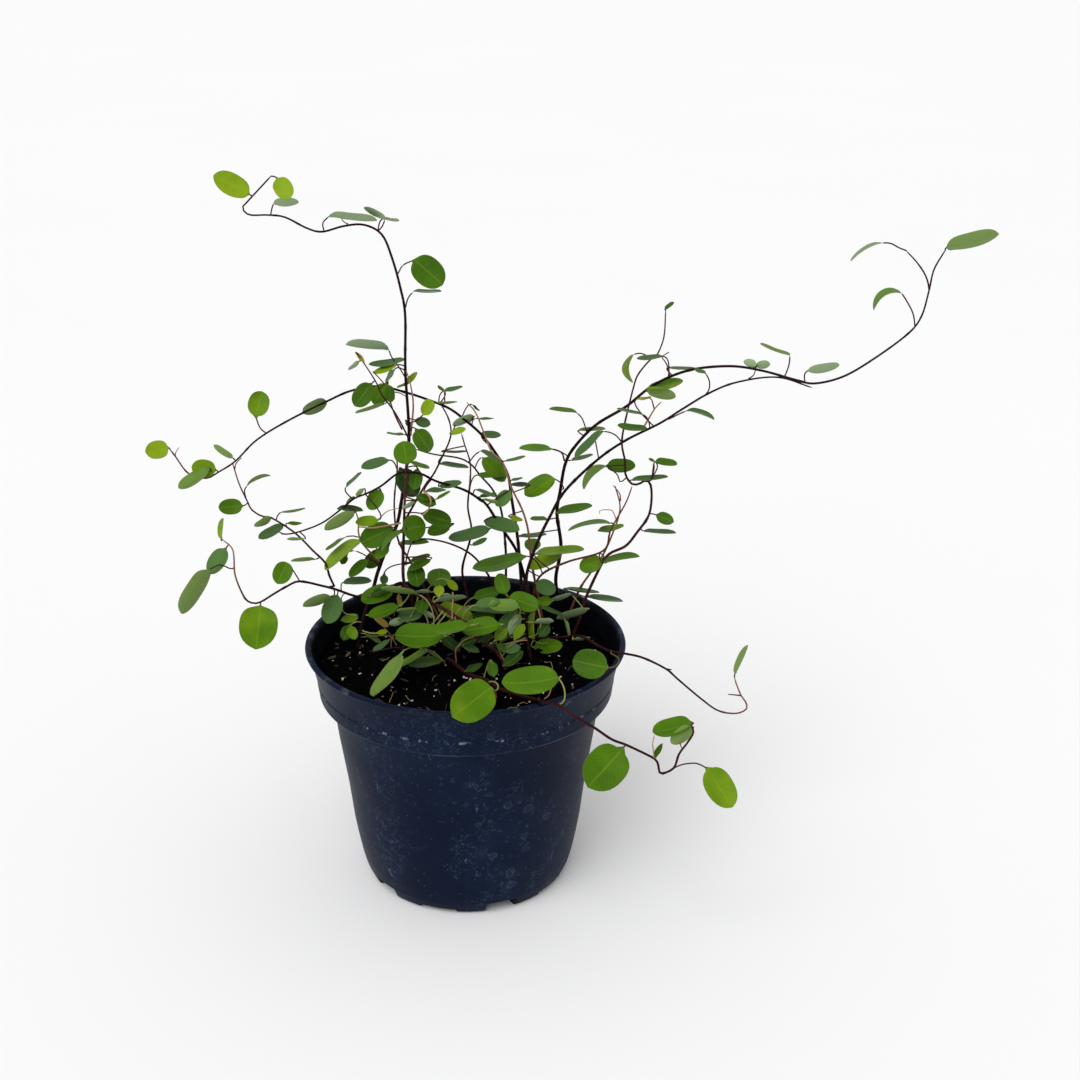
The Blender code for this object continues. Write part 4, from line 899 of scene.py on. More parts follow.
# Each leaf: where its stalk meets the blade and where the blade's tip is on the drawing board, the width
# that the board shows and its sort. Some also give the name of their own solid, how much nearer the eye
# they are than their shoot (near), how much nearer their tip is than their foot (lean), how fresh they are
# where their sort doesn't say it (fresh), how red their stalk is (ruddy), how far the blade's middle is
# pushed to the left of its way from base to tip (bow), and the points that their stalk passes (stalk).
LEAVES = {
    "tall_left": [
        (-71.9, 261.7, -83.2, 267.8, 7.6, "young", dict(name="top_tip", near=2)),
        (-61.9, 266.9, -58, 260.3, 6.5, "young", dict(name="top_second", near=1)),
        (-63.5, 258.8, -55.1, 259, 3, "silver", dict(name="top_third", near=4, stalk=[(-64.3, 256.7)])),
        (-44.8, 254.5, -28.9, 252.9, 2.5, "silver",
         dict(name="top_long", near=2, fresh=0.5, stalk=[(-47.2, 252)])),
        (-16.2, 239.6, -6.8, 231, 10.4, "green",
         dict(name="top_round", near=2, fresh=0.5, stalk=[(-22.1, 234.5), (-20.3, 237.6)])),
        (-26, 208, -40.7, 209.3, 3.2, "silver",
         dict(name="upper_long", near=-4, fresh=0.2, stalk=[(-20.4, 197.5), (-22.5, 201.3), (-25, 205)])),
        (-25.9, 253.6, -33, 257.3, 2.2, "silver", dict(stalk=[(-27, 251)])),
        (-26.2, 253.6, -21.3, 252.9, 1, "silver"),
        (-16.8, 228.6, -7.3, 228.6, 0.5, "grey", dict(stalk=[(-19.8, 222.5), (-18.8, 226)])),
        (-20.8, 204.2, -33, 202.2, 2.5, "grey", dict(near=-2)),
        (-23.7, 202, -31.5, 199, 2.4, "bright", dict(fresh=0.92)),
        (-24.2, 200.4, -27.2, 195.7, 1.7, "silver"),
        (-20, 195.2, -16.2, 199.4, 2.2, "bright", dict(near=-4, fresh=1.0)),
        (-19.8, 195.4, -23.3, 193.9, 0.9, "pale"),
        (-11.3, 189.5, -14.2, 183.8, 4.8, "young", dict(stalk=[(-17, 181.5), (-13, 185.5)])),
        (-17, 181.8, -11.9, 180.3, 3.8, "grey"), (-16.8, 178.1, -12.2, 170.2, 7, "green"),
        (-20.5, 181.5, -18.5, 179, 2, "grey"), (-21.5, 176.4, -27.3, 176.9, 0.8, "pale"),
        (-43.6, 100.9, -45.9, 95, 4.5, "green", dict(near=2, stalk=[(-41.3, 102.5)])),
        (-43.5, 100.5, -41.4, 95.5, 4, "bright", dict(near=3, fresh=0.8, stalk=[(-41.3, 102.5)])),
        (-38.6, 135.4, -51.5, 123.8, 4.6, "bright", dict(near=3, fresh=0.85, bow=-1)),
        (-45, 136, -51, 131.5, 1.3, "green"), (-43.8, 129.5, -45.5, 126, 3, "green"),
        (-36, 127.5, -42.7, 121, 4, "green"), (-29.8, 131, -36.8, 125, 6, "green"),
        (-28.2, 133, -32.8, 128.6, 4, "bright", dict(near=3)),
        (-26.6, 140.4, -38, 134.6, 9, "bright", dict(near=4, fresh=0.5)),
        (-34, 104.4, -29, 100.7, 2.4, "tan", dict(near=2)),
        (-33, 98, -29.4, 98.7, 2, "young", dict(near=3)), (-37, 97.3, -32, 94, 1.8, "green", dict(near=2)),
        (-29, 94.8, -34.8, 90.6, 2.2, "grey", dict(near=6)),
    ],
    "upper_left": [
        (-32.5, 195, -38.5, 187, 7, "green", dict(name="upper_second", near=3)),
        (-27, 194.8, -31.8, 187.8, 6.4, "green", dict(name="upper_third", near=-8, fresh=0.6)),
        (-25.8, 188.5, -26.2, 194.6, 3.6, "green"), (-37.5, 206.5, -34.7, 203, 1.4, "tan"),
        (-36.5, 203.3, -40.2, 200.3, 1.5, "silver"), (-28, 187.8, -38.3, 184.3, 1.3, "pale"),
    ],
    "left_arch": [
        (-106, 170.7, -114.2, 169.2, 6.4, "young", dict(name="far_left", near=1)),
        (-74, 183, -71.2, 192, 7.5, "bright",
         dict(name="arch_upright", near=2, fresh=0.78, stalk=[(-72.6, 178.5)])),
        (-89.6, 162.4, -98, 163.6, 6.4, "bright", dict(name="arch_bright", near=2, fresh=0.85)),
        (-48.6, 188.6, -57, 184.3, 4.8, "pale", dict(fresh=0.5)),
        (-92.4, 162.6, -103.2, 155.4, 4.5, "grey", dict(near=3.5, fresh=0.9)),
        (-83.2, 167.2, -89.5, 171.8, 2.3, "pale", dict(fresh=1.0)), (-6.6, 192.8, -0.4, 194.3, 1.6, "grey"),
        (-6.8, 192.8, -9, 194.6, 1.2, "green"), (-9.6, 188.4, -2.3, 188.8, 0.8, "pale"),
        (3.5, 183.5, -3.8, 179.9, 3, "silver"), (4.4, 182.6, 10.5, 182.7, 0.6, "pale"),
        (6, 176.6, 13.2, 176.3, 2.8, "grey", dict(stalk=[(10, 172), (7, 174.5)])),
        (3.5, 187.5, 5.6, 185.5, 0.8, "dark"),
    ],
    "middle_arch": [
        (-27.5, 166.6, -36.9, 163.7, 3.6, "grey", dict(name="middle_dark", near=3)),
        (-40.4, 146, -51, 139.6, 4.2, "pale", dict(name="middle_pale", near=4)),
        (-46, 147.9, -37, 147.1, 2.2, "dark"), (-30.4, 155, -34.6, 147.7, 5.8, "bright", dict(fresh=0.5)),
        (-36.6, 155.4, -39.2, 153, 1.7, "pale"), (-40.3, 152.3, -42.8, 149.8, 1.3, "grey"),
        (-42.6, 156.4, -37.1, 161.7, 0.8, "grey"), (-8.8, 156.8, -1, 158.3, 2.7, "grey"),
        (-13.8, 154.8, -6.8, 155.3, 1.6, "grey"), (8.8, 140.3, -5.7, 136.5, 4.8, "grey", dict(fresh=0.5)),
        (-31.8, 143.4, -39.7, 142.4, 3.8, "bright", dict(fresh=0.75)), (5.3, 161.3, 9.5, 160.8, 2, "green"),
        (7.5, 143, 19.8, 140, 5.5, "grey"), (16.5, 155, 11.5, 149.5, 5, "grey", dict(fresh=0.6)),
        (4.3, 155.6, 11, 152.8, 1.2, "grey"), (5.5, 152.8, 11.5, 154, 1.3, "green"),
        (7, 151.8, 12, 150.5, 1.2, "pale"), (-59, 135.8, -65, 135.7, 1, "pale"),
    ],
    "left_low": [
        (-76.3, 108.6, -79, 91.3, 14, "bright", dict(name="low_round", near=3, fresh=0.72)),
        (-88, 131.5, -94.4, 121.8, 6.2, "grey", dict(name="low_side", near=-4, fresh=0.5)),
        (-94.8, 123, -105.7, 105.7, 6.5, "pale",
         dict(name="low_hanging", near=5, stalk=[(-86.6, 123.8), (-90.5, 125.3)])),
        (-47.6, 113.2, -51.9, 102, 7.5, "grey", dict(name="rim_left", near=3)),
        (-50, 112.6, -60.4, 108.8, 3.6, "pale", dict(name="rim_left_second", near=6, fresh=0.8)),
        (-89.2, 135.6, -88, 143.8, 1.8, "bright", dict(fresh=0.95, bow=0.6)),
        (-65.4, 126.4, -69.6, 118, 7, "bright",
         dict(fresh=0.55, stalk=[(-61.5, 119.5), (-62.8, 122), (-64.6, 125.4)])),
        (-45, 118.6, -34.8, 119.2, 3, "grey"),
        (-27, 115.8, -38.6, 111.4, 6.6, "green", dict(near=17, fresh=0.4)),
        (-34.2, 114, -28, 116.8, 3, "dark", dict(near=16)),
        (-40, 104.9, -46.5, 103.2, 3.3, "bright", dict(near=6, stalk=[(-46, 112.5), (-45.5, 106.5)])),
    ],
    "left_middle": [
        (-80.8, 148.6, -89.3, 148, 6, "green", dict(name="left_middle", near=2, fresh=0.58)),
        (-66.4, 141, -75.4, 136, 3.8, "grey"), (-70.6, 144.2, -76.6, 140.8, 2.8, "pale"),
        (-66.5, 146.3, -57.9, 147.9, 0.8, "pale"), (-64.5, 142, -59.5, 142, 1.3, "green"),
        (-55.3, 127.8, -64, 127, 1.2, "pale"),
        (-78.3, 156.8, -69.9, 160.4, 1.3, "pale", dict(near=2, bow=1, stalk=[(-79, 151), (-79.6, 154.5)])),
    ],
    "front_diagonal": [
        (-20.6, 165.4, -21.6, 173.8, 8.4, "bright", dict(name="glossy", near=2)),
        (-22.5, 139.8, -14.4, 141.5, 9.4, "green", dict(name="centre_big", near=7, fresh=0.52)),
        (-22, 139.4, -30.4, 131, 1.8, "bright", dict(near=6, bow=-1.2)),
        (-9.2, 97, -26.4, 97.2, 9, "bright", dict(name="soil_left", near=16, fresh=0.52)),
        (-23, 163, -17.5, 153, 8, "dark", dict(near=-5)), (-16.8, 163, -18.2, 155.5, 5, "green"),
        (-18.7, 165.8, -12.6, 163.8, 1.7, "green"), (-15, 146, -5, 143, 6, "green"),
        (-17, 153, -10.5, 149.8, 4.3, "green"),
        (-18.6, 125.4, -17.6, 117.2, 6.8, "green", dict(near=3, fresh=0.3)),
        (-13, 127.8, -21, 123.5, 3, "green"), (-24, 134.3, -13.3, 134.9, 1.8, "green"),
        (-9.8, 152, -5.2, 154.8, 1.1, "bright"), (-18, 150.6, -22.6, 147.8, 1.5, "silver"),
        (-20, 127, -12.8, 129.8, 2, "green"), (-9.8, 113.6, -9.8, 117.4, 4, "yellow", dict(near=3)),
        (-10.9, 111.5, 0.3, 113, 2.2, "silver", dict(near=2)), (-18.2, 115, -12.5, 115, 1.3, "silver"),
        (-10.9, 113.2, -5, 113.5, 1.6, "silver"), (-16, 111.4, -17, 106.4, 5, "green", dict(near=1)),
        (-15.8, 106.8, -11.5, 104.5, 2, "silver", dict(near=2)),
        (-10.1, 108.9, 2.5, 104, 6, "bright", dict(near=-6, fresh=0.8)),
        (-25.2, 109, -36.2, 105, 4.5, "bright", dict(near=4, fresh=0.6)),
        (-23.5, 103, -28.6, 101.8, 3, "silver", dict(near=4)),
        (-16.5, 106, -25.5, 103.8, 4.4, "grey", dict(near=2)),
        (-18, 114.3, -31.2, 116.2, 1.5, "pale",
         dict(near=5, fresh=1.0, stalk=[(-11.5, 101), (-11.9, 105), (-13.2, 109.6), (-15.6, 112.8)])),
        (-18, 107.6, -25.6, 107, 1.3, "pale",
         dict(near=5, fresh=1.0, stalk=[(-13.4, 101), (-14.3, 103.8), (-15.9, 106.7)])),
        (-24.8, 113.6, -24.2, 108.8, 2, "tan", dict(near=0)),
        (0.6, 101.3, -12.7, 98.8, 4.6, "bright", dict(near=19, fresh=0.62)),
        (12.2, 101.9, -1.1, 99, 6.7, "bright", dict(near=8, fresh=0.58)),
        (-2.2, 93.7, 4.3, 95.5, 3.5, "dark", dict(near=2)), (5, 94.8, 10, 97.7, 2.4, "dark", dict(near=3)),
        (-1.3, 93.3, 4.8, 90.4, 2.8, "grey", dict(near=3)),
        (11.3, 95.8, 15, 100.4, 4.2, "bright", dict(near=4)),
        (11.7, 93.6, 15.2, 90.3, 2.4, "green", dict(near=3)),
        (14.2, 91.6, 20.4, 92.4, 3.8, "grey", dict(near=2, fresh=0.2)),
        (14.5, 85, 21.4, 90.8, 4.2, "dark", dict(near=4)),
        (3.4, 113, 13, 116, 4.4, "green", dict(near=-2, fresh=0.22)),
        (2.8, 105.8, 10.8, 105.3, 3.4, "green", dict(near=-3)), (-0.9, 108.6, 15.2, 106.6, 2, "green"),
        (4, 109.9, 12.5, 111.6, 3.6, "grey", dict(fresh=0.6)),
        (-9, 96.6, -2.5, 91, 4, "dark", dict(near=3)),
    ],
    "inner_left": [
        (-5.5, 141.5, -13.5, 138.5, 5, "green"),
        (-9.8, 117, -9.6, 124.4, 9.2, "bright", dict(near=6, fresh=0.5)),
        (-6.5, 119.5, -3, 116, 3, "yellow", dict(near=4)), (-30, 121.6, -30, 118, 3.2, "grey"),
    ],
    "back_riser": [
        (2.8, 134, 8, 136.6, 2, "green"), (-7.3, 170, 1, 170.2, 0.6, "dark"),
    ],
    "back_arch": [
        (6.2, 170.6, 14, 166, 2, "grey", dict(stalk=[(2.5, 167), (4, 169)])),
        (7, 167.5, 14.5, 159, 6.5, "bright"), (5.5, 161, 14.5, 161, 2.2, "grey"),
        (-8.7, 165.4, 1.5, 164, 1.4, "grey"),
    ],
    "tan_riser": [
        (15, 166.7, 22, 168.5, 1, "pale"), (23.3, 157.8, 16.8, 157.6, 1.7, "dark"),
        (17, 159.3, 21, 160.2, 0.9, "grey"), (16.5, 145, 21, 143.8, 2, "yellow"),
    ],
    "red_shoot": [
        (-4.6, 176.8, 0.6, 178.8, 2.4, "bright", dict(fresh=0.85)),
    ],
    "right_upper": [
        (165.8, 245.1, 182.8, 249.8, 5, "pale", dict(name="far_right", near=1)),
        (151.5, 229.5, 142.6, 223.3, 2.3, "grey",
         dict(name="right_cupped", near=4, fresh=0.8, bow=-2.7,
              stalk=[(157.3, 217.8), (156.3, 222), (154, 226)])),
        (121.5, 201.2, 132, 203.4, 3.2, "silver", dict(name="right_small", near=2)),
        (65.4, 193, 75, 191.2, 4.2, "pale", dict(name="right_pair", near=3, fresh=1.0)),
        (65, 193.6, 77.4, 197, 3.8, "bright", dict(fresh=0.66)),
        (31, 171.4, 19.9, 171.5, 2.8, "bright", dict(fresh=0.6)),
        (32.3, 160.2, 22, 153.7, 7, "bright", dict(fresh=0.6, stalk=[(36, 156.2), (34.8, 158.5)])),
        (41, 178.5, 50.5, 179, 1.2, "pale"), (38.6, 167.2, 46.2, 169.3, 1.5, "grey"),
        (40, 185.3, 30.5, 186.3, 1.5, "green", dict(fresh=0.5, stalk=[(43.8, 178.2), (42.2, 182.8)])),
        (33.6, 146.9, 46.3, 149.6, 3.3, "green", dict(fresh=0.5)), (20, 137.5, 29.8, 138.3, 1.6, "silver"),
        (29.8, 144.3, 24, 144.4, 1.8, "bright"), (24.8, 131.8, 24.8, 136.6, 6.5, "bright", dict(fresh=0.6)),
        (103, 202.9, 98.5, 204.4, 2.8, "silver"), (103, 202.9, 107.8, 203.5, 3, "silver"),
        (114.6, 206.9, 104, 210.8, 1.1, "pale", dict(stalk=[(113, 198.5), (114.4, 203)])),
        (72, 201.8, 81.6, 201.7, 0.7, "grey"), (69.6, 206, 61.1, 205, 1.8, "grey"),
    ],
    "right_tip": [
        (143, 246.6, 133.4, 240.3, 0.8, "silver",
         dict(bow=-1.2, stalk=[(151.6, 244.2), (149.4, 245), (146.4, 246.5)])),
    ],
    "right_lower": [
        (49.3, 178.2, 40, 168.2, 2.8, "grey", dict(stalk=[(56.5, 174), (54.5, 176.5), (52, 177.8)])),
        (46.9, 175.2, 49.5, 178.4, 1.2, "grey", dict(stalk=[(48.3, 167.8)])),
        (79.4, 186.2, 89, 182.9, 1.5, "grey", dict(bow=0.9, stalk=[(72.8, 182.8), (76.5, 184.8)])),
        (65.2, 179.3, 54.9, 180.4, 2.5, "green", dict(fresh=0.5)), (63.2, 184.7, 54.5, 186.6, 0.8, "grey"),
        (62, 190.4, 66.4, 191, 1, "yellow"),
        (85.2, 200.2, 81.4, 201.4, 1.4, "grey",
         dict(near=4, stalk=[(85, 191.4), (86.7, 193.8), (86.8, 197)])),
        (26.9, 109, 16.6, 113.5, 6.8, "bright",
         dict(near=5, fresh=0.6, stalk=[(28, 103.5), (27.5, 99.6), (25.8, 97.4)])),
        (14.8, 114.6, 12.4, 122.6, 5.6, "bright",
         dict(near=3, fresh=0.52, stalk=[(18.5, 109), (16.5, 112.5)])),
        (19.7, 109.6, 8.6, 109.8, 4.8, "grey", dict(near=8, fresh=1.0, stalk=[(20, 104), (20.3, 107.5)])),
        (18.4, 96.2, 21.8, 102, 3.6, "bright", dict(near=4, fresh=0.9)),
        (16.6, 98, 20.3, 106, 4.2, "silver", dict(near=3)),
        (26, 103, 32.7, 103.3, 2.2, "silver", dict(near=3)),
        (30.8, 102, 27.5, 97.2, 4.5, "dark", dict(near=1)),
        (28.4, 109, 36.2, 105.7, 1.5, "dark", dict(near=2)),
        (20.2, 106.6, 12.4, 100.5, 5.5, "grey", dict(near=1, fresh=0.6)),
        (13.2, 95, 16, 98.6, 2.2, "pale", dict(near=2)),
    ],
    "right_hook": [
        (51.5, 165, 61.5, 165.2, 5.3, "green", dict(name="right_hook", near=-5)),
        (70, 146.2, 76, 143.6, 4.5, "green", dict(name="right_side", near=1)),
        (60.5, 159.8, 73.3, 161, 1.9, "green"),
        (68.8, 167, 76.5, 165.9, 2.8, "green", dict(stalk=[(67.5, 160), (68.2, 166.2)])),
        (68.3, 167, 66.3, 168, 1, "grey"),
        (50.7, 165.2, 43.2, 156.2, 3, "grey", dict(fresh=0.9, bow=-1.8, stalk=[(56.3, 159), (55, 162)])),
        (59.4, 206.5, 59.6, 196.4, 2.4, "bright",
         dict(fresh=0.8, bow=-2.6, stalk=[(63.6, 206.6), (61.6, 207)])),
        (65.5, 140, 77, 139.3, 1.7, "grey"), (70.3, 223, 73.2, 225.3, 1.5, "green"),
        (39.2, 114.6, 31.6, 112, 1.7, "silver", dict(near=4, stalk=[(43.8, 108.7), (41.7, 111.5)])),
        (45, 108.2, 34.1, 104.6, 3, "silver", dict(near=6)),
    ],
    "right_low": [
        (53, 143, 38, 140, 1.7, "green", dict(fresh=0.6, bow=-2)),
        (49, 140.2, 58, 142, 2.3, "bright", dict(fresh=0.6)),
        (26.4, 131, 43.5, 132.5, 3.3, "bright", dict(fresh=0.85)),
        (23.6, 125.2, 35, 130.4, 5.4, "bright", dict(fresh=0.9)),
        (21.5, 129.5, 3, 124.6, 5.6, "green", dict(fresh=0.45)), (50, 128.5, 42.3, 124.8, 6.5, "bright"),
        (51, 127.3, 64, 129.8, 2.5, "bright", dict(fresh=0.6, bow=0.6)),
        (31.9, 111.9, 26.5, 111.2, 4, "bright", dict(near=4, fresh=0.75)),
        (26.4, 118.8, 33.3, 115.6, 6, "grey", dict(near=2)),
    ],
    "right_back": [
        (37, 116.8, 49.5, 115.3, 1.3, "grey", dict(near=3)),
        (45, 113.5, 58.3, 111.7, 1.6, "grey", dict(near=3)),
    ],
    "right_trailer": [
        (53, 84.3, 40.3, 87.3, 10.5, "bright",
         dict(name="soil_right", near=22, fresh=0.5, ruddy=0.5,
              stalk=[(54.6, 90.2), (57.2, 88.5), (57.4, 86.5), (55.7, 84.6)])),
        (101.6, 82.2, 105.8, 94, 2.1, "pale", dict(name="trailer_tip", near=0, fresh=1.0, bow=0.7)),
        (37.1, 103.7, 38.8, 98, 1.2, "pale", dict(near=2)),
        (25.4, 95.8, 25.7, 107.3, 3.2, "young",
         dict(near=13, bow=1.7, stalk=[(31, 95), (29.2, 94.1), (26.6, 94.6)])),
        (25.8, 92.6, 36.2, 93.4, 5.6, "bright", dict(near=4, fresh=0.58)),
        (40.6, 95.9, 46.5, 96.6, 1.3, "silver", dict(near=2)),
    ],
    "front_trailer": [
        (9.4, 75.6, -5.2, 63.2, 13.4, "bright",
         dict(name="front_big", near=21, lean=9,
              stalk=[(8.6, 77.9), (10.3, 78), (11.9, 76.8), (11.9, 75), (10.8, 74.2)])),
        (34.6, 79.9, 13.7, 77.6, 9.5, "bright",
         dict(name="front_oval", near=1,
              stalk=[(34.6, 68.3), (36.2, 69), (37.3, 70.9), (37.3, 74.2), (36.3, 77.5)])),
        (-25.2, 88.6, -35, 71.8, 5.5, "grey", dict(name="front_small", near=16, lean=9, fresh=0.9)),
        (59.5, 48.8, 47, 32.8, 14.4, "bright",
         dict(name="trailer_oval", near=2, fresh=0.6, stalk=[(60.6, 50.6)])),
        (93.4, 40.9, 103.3, 24.2, 9.8, "bright",
         dict(name="trailer_low", near=2, fresh=0.72,
              stalk=[(80.2, 41.3), (82.6, 42.6), (85.8, 43.3), (89.1, 43.2)])),
        (85.8, 61, 71.4, 57, 6.5, "bright", dict(name="trailer_end", near=-4, fresh=0.55)),
        (72.6, 45.8, 75.2, 51.8, 1.8, "green", dict(near=1, stalk=[(72.6, 45.2)])),
        (86.2, 58.8, 78.6, 52.2, 5, "pale"), (9.6, 86.1, 10.3, 80.2, 4, "green", dict(near=2)),
        (0, 82.5, 6, 85.3, 2.6, "dark", dict(near=2)),
        (-14.4, 91.3, -26, 83.9, 2.5, "bright", dict(near=4, stalk=[(-7.8, 85.3), (-9.8, 88), (-12, 90)])),
        (-9.7, 86.6, -21.8, 84.8, 4, "green", dict(near=2)),
    ],
}
BLADE_THICKNESS = 0.3
STALK_RADIUS = 0.25
LONGEST_BLADE_RATIO = 1.45
ROUNDEST_BLADE_RATIO = 1.25
MIX_CLEARANCE = 2.0
LEAF_STEPS_APART = (0.9, -1.0, 0.3, -0.5, 1.4, -1.5)
LARGE_WIDTH = 5.0
LARGE_GRID, SMALL_GRID = (16, 14), (12, 8)
LARGE_TIP, SMALL_TIP = (1.012, 0.05), (1.03, 0.04)
OUTLINE_SKEW, OUTLINE_FULLNESS = 0.92, 2.3
EDGE_BLUNTNESS, FACE_FLATNESS = 0.6, 0.45
THINNEST_HALF_BLADE = 0.08
LEAST_FOLD_CURL_CUP, MOST_FOLD_CURL_CUP = (0.08, 0.03, 0.0), (0.24, 0.07, 0.12)
EDGE_WAVE_HEIGHTS, LARGE_WAVE_SHARE, WAVE_PACE = (0.02, 0.06), 0.3, 7
STALK_BEND_SHARE = 0.4
STALK_STEPS = 6
RUDDY_ABOVE, RUDDY_BEYOND = 120, 45


def blade_axes(base, tip, width, face, lean):
    """The blade's lengthwise, sideways and upward directions and its true length and width.

    The drawing shows the blade foreshortened. A blade is at least ROUNDEST_BLADE_RATIO times as long as
    it is wide, so one drawn shorter leans towards or away from the eye, and one drawn narrower than its
    length allows is rolled about its long axis. Of the ways to lean, it takes the one that faces the sky.
    """
    sight = unit((base + tip) / 2 - EYE)
    drawn = (tip - base) - ((tip - base) @ sight) * sight
    shown = np.linalg.norm(drawn)
    length = (shown**2 + lean**2) ** 0.5 if lean else max(shown, ROUNDEST_BLADE_RATIO * width)
    true_width = max(width, length / LONGEST_BLADE_RATIO)
    away = (length**2 - shown**2) ** 0.5
    roll = acos(width / true_width)
    level = unit(np.cross(sight, drawn))
    ways = []
    for leaning in (-away,) if lean else (-away, away):
        ahead = unit(drawn + leaning * sight)
        for roll_side in (-1, 1):
            side = level * cos(roll) + np.cross(ahead, level) * sin(roll) * roll_side
            up = np.cross(ahead, side)
            up = up if up @ -sight * face >= 0 else -up
            ways.append((up[2], ahead, up))
    _, ahead, up = max(ways, key=lambda way: way[0])
    return ahead, np.cross(up, ahead), up, length, true_width


def leaf_form(stalk, base, axes, bow, dice):
    """Rings of a leaf from the start of its stalk to its tip, and each point's numbers.

    The stalk is a round ring carried along its points. On the blade the ring opens to half the width
    times the root of 1 - |2 t^0.92 - 1|^2.3 at share t of the length, and closes to a short point. The
    blade is raised by a fold along its middle, by (2t - 1)^2 at both ends, and by a wave along its edges.
    Its middle is pushed by the bow across the line of sight, to the left of its way from base to tip.
    """
    ahead, side, up, length, width = axes
    large = width > LARGE_WIDTH
    sides, blade_rows = LARGE_GRID if large else SMALL_GRID
    run = unit(np.gradient(stalk, axis=0))
    across = side - (run @ side)[:, None] * run
    backup = np.cross(run, up - (run @ up)[:, None] * run)
    stalk_side = unit(np.where(np.linalg.norm(across, axis=1, keepdims=True) > 0.4, across, backup))
    stalk_up = np.cross(run, stalk_side)

    t = (1 - np.cos(np.pi * np.arange(1, blade_rows + 1) / (blade_rows + 0.6))) / 2
    opening = (1 - np.abs(2 * t**OUTLINE_SKEW - 1) ** OUTLINE_FULLNESS) ** 0.5
    t[-1], opening[-1] = LARGE_TIP if large else SMALL_TIP
    turn = full_turn(sides)
    out = np.sign(np.cos(turn).round(6)) * np.abs(np.cos(turn)) ** EDGE_BLUNTNESS
    rise = np.sign(np.sin(turn).round(6)) * np.abs(np.sin(turn)) ** FACE_FLATNESS
    half = np.maximum(opening * width / 2, THINNEST_HALF_BLADE)[:, None]
    thick = np.maximum(BLADE_THICKNESS / 2, STALK_RADIUS * (1 - 4 * t)).clip(0.1)[:, None]
    fold, curl, cup = dice.uniform(LEAST_FOLD_CURL_CUP, MOST_FOLD_CURL_CUP)
    phase, waves = dice.uniform(0, 6.28), dice.uniform(*EDGE_WAVE_HEIGHTS)
    lift = (fold * np.abs(out) + cup * out**2) * half + curl * length * (2 * t[:, None] - 1) ** 2
    ripple = np.abs(out) ** 3 * np.sin(WAVE_PACE * t[:, None] + phase + 2 * np.sign(out))
    lift = lift - curl * length + waves * (LARGE_WAVE_SHARE if large else 1) * width * ripple
    lift = lift * np.clip(8 * t[:, None], 0, 1)
    shift = bow * 4 * t * (1 - t)
    left = unit(np.cross(ahead, base - EYE))
    middle = base + np.outer(length * t, ahead) + np.outer(shift, left)
    blade = middle[:, None] + (half * out)[..., None] * side + (lift + thick * rise)[..., None] * up
    turn = turn[None, :, None]
    round_ring = np.cos(turn) * stalk_side[:, None] - np.sin(turn) * stalk_up[:, None]
    stem = stalk[:, None] + STALK_RADIUS * round_ring
    points = np.concatenate([stem, blade])
    rows = len(points)
    lengthwise = np.concatenate([np.zeros(len(stalk)), t])
    surface = np.stack([np.repeat(lengthwise, sides), np.tile((out + 1) / 2, rows)], axis=-1)
    is_stalk = np.repeat(lengthwise == 0, sides)
    below = np.tile((rise < -0.1) + 0.5 * (np.abs(rise) <= 0.1), rows)
    return points, sides, surface, {"stalk": is_stalk, "under": below}


def stalk_points(host, base, ahead, passed):
    """The stalk's points from inside its shoot to the blade: through the points that it passes, or on a
    simple bend that meets the blade along its length."""
    if passed:
        from_base = np.linalg.norm(np.array(passed) - on_board(base), axis=1)
        passed = passed[::-1] if from_base[0] < from_base[-1] else passed
        start = nearest_on(host, passed[0])
        share = np.arange(1, len(passed) + 1) / (len(passed) + 1)
        between = placed(passed, start[1] + (base[1] - start[1]) * share)
        return smooth_curve(np.concatenate([start[None], between, base[None]]), TWIG_STEP)[:-1]
    start = nearest_on(host, on_board(base))
    reach = np.linalg.norm(base - start)
    bend = base - ahead * STALK_BEND_SHARE * reach
    t = np.linspace(0, 1, STALK_STEPS, endpoint=False)[:, None]
    return (1 - t) ** 2 * start + 2 * t * (1 - t) * bend + t**2 * base


leaf_skin, skin_shader, start = new_finish("leaf_skin")
place = start.place()
surface = start.node("ShaderNodeUVMap", {"uv_map": "surface"})
along, across = surface.axis("X"), surface.axis("Y")
off_rib = abs(across - 0.5) * 2
rib = 1 - off_rib.rise(0.0, 0.09)
veins = start.maths("SINE", (along * 9 - off_rib * 4.5) * 6.28).rise(0.55, 1.0) * (1 - off_rib.rise(0.7, 1.0))
mottle = place.noise(420, 4, 0.6)
clouds = place.noise(110, 3, 0.5)
fresh = start.named("fresh") + (clouds - 0.5) * 0.5
top_tone = start.node("ShaderNodeValToRGB", {"stops": [
    (0.0, shade(24, 50, 16)), (0.35, shade(52, 88, 8)), (0.65, shade(72, 112, 4)), (1.0, shade(130, 158, 22)),
]}, {0: fresh})
top_tone = (mottle.rise(0.45, 0.75) * 0.2).blend(top_tone, shade(84, 120, 16))
top_tone = (rib * 0.22 + veins * 0.05).blend(top_tone, shade(140, 170, 50))
# Painted sheen: grey-green laid over the upper face in place of the pale sky's reflection off the glossy
# blade.
top_tone = (start.named("bloom") * 0.8).blend(top_tone, shade(82, 112, 70))
under_tone = fresh.rise(0.0, 1.2).blend(shade(70, 104, 54), shade(120, 146, 68))
under_tone = (rib * 0.35 + veins * 0.15).blend(under_tone, shade(150, 170, 104))
# Painted sheen on the underside as well: a pale grey-green in place of the sky's reflection.
under_tone = (start.named("bloom") * 0.8).blend(under_tone, shade(150, 172, 134))
blade_tone = start.named("under").rise(0.3, 0.7).blend(top_tone, under_tone)
dried = (start.named("dry") * (0.55 + mottle * 0.9)).rise(0.0, 1.0)
blade_tone = dried.blend(blade_tone, shade(160, 134, 52))
edge = off_rib.rise(0.9, 1.0) * (1 - start.named("stalk")) * place.noise(200, 2, 0.5).rise(0.45, 0.6)
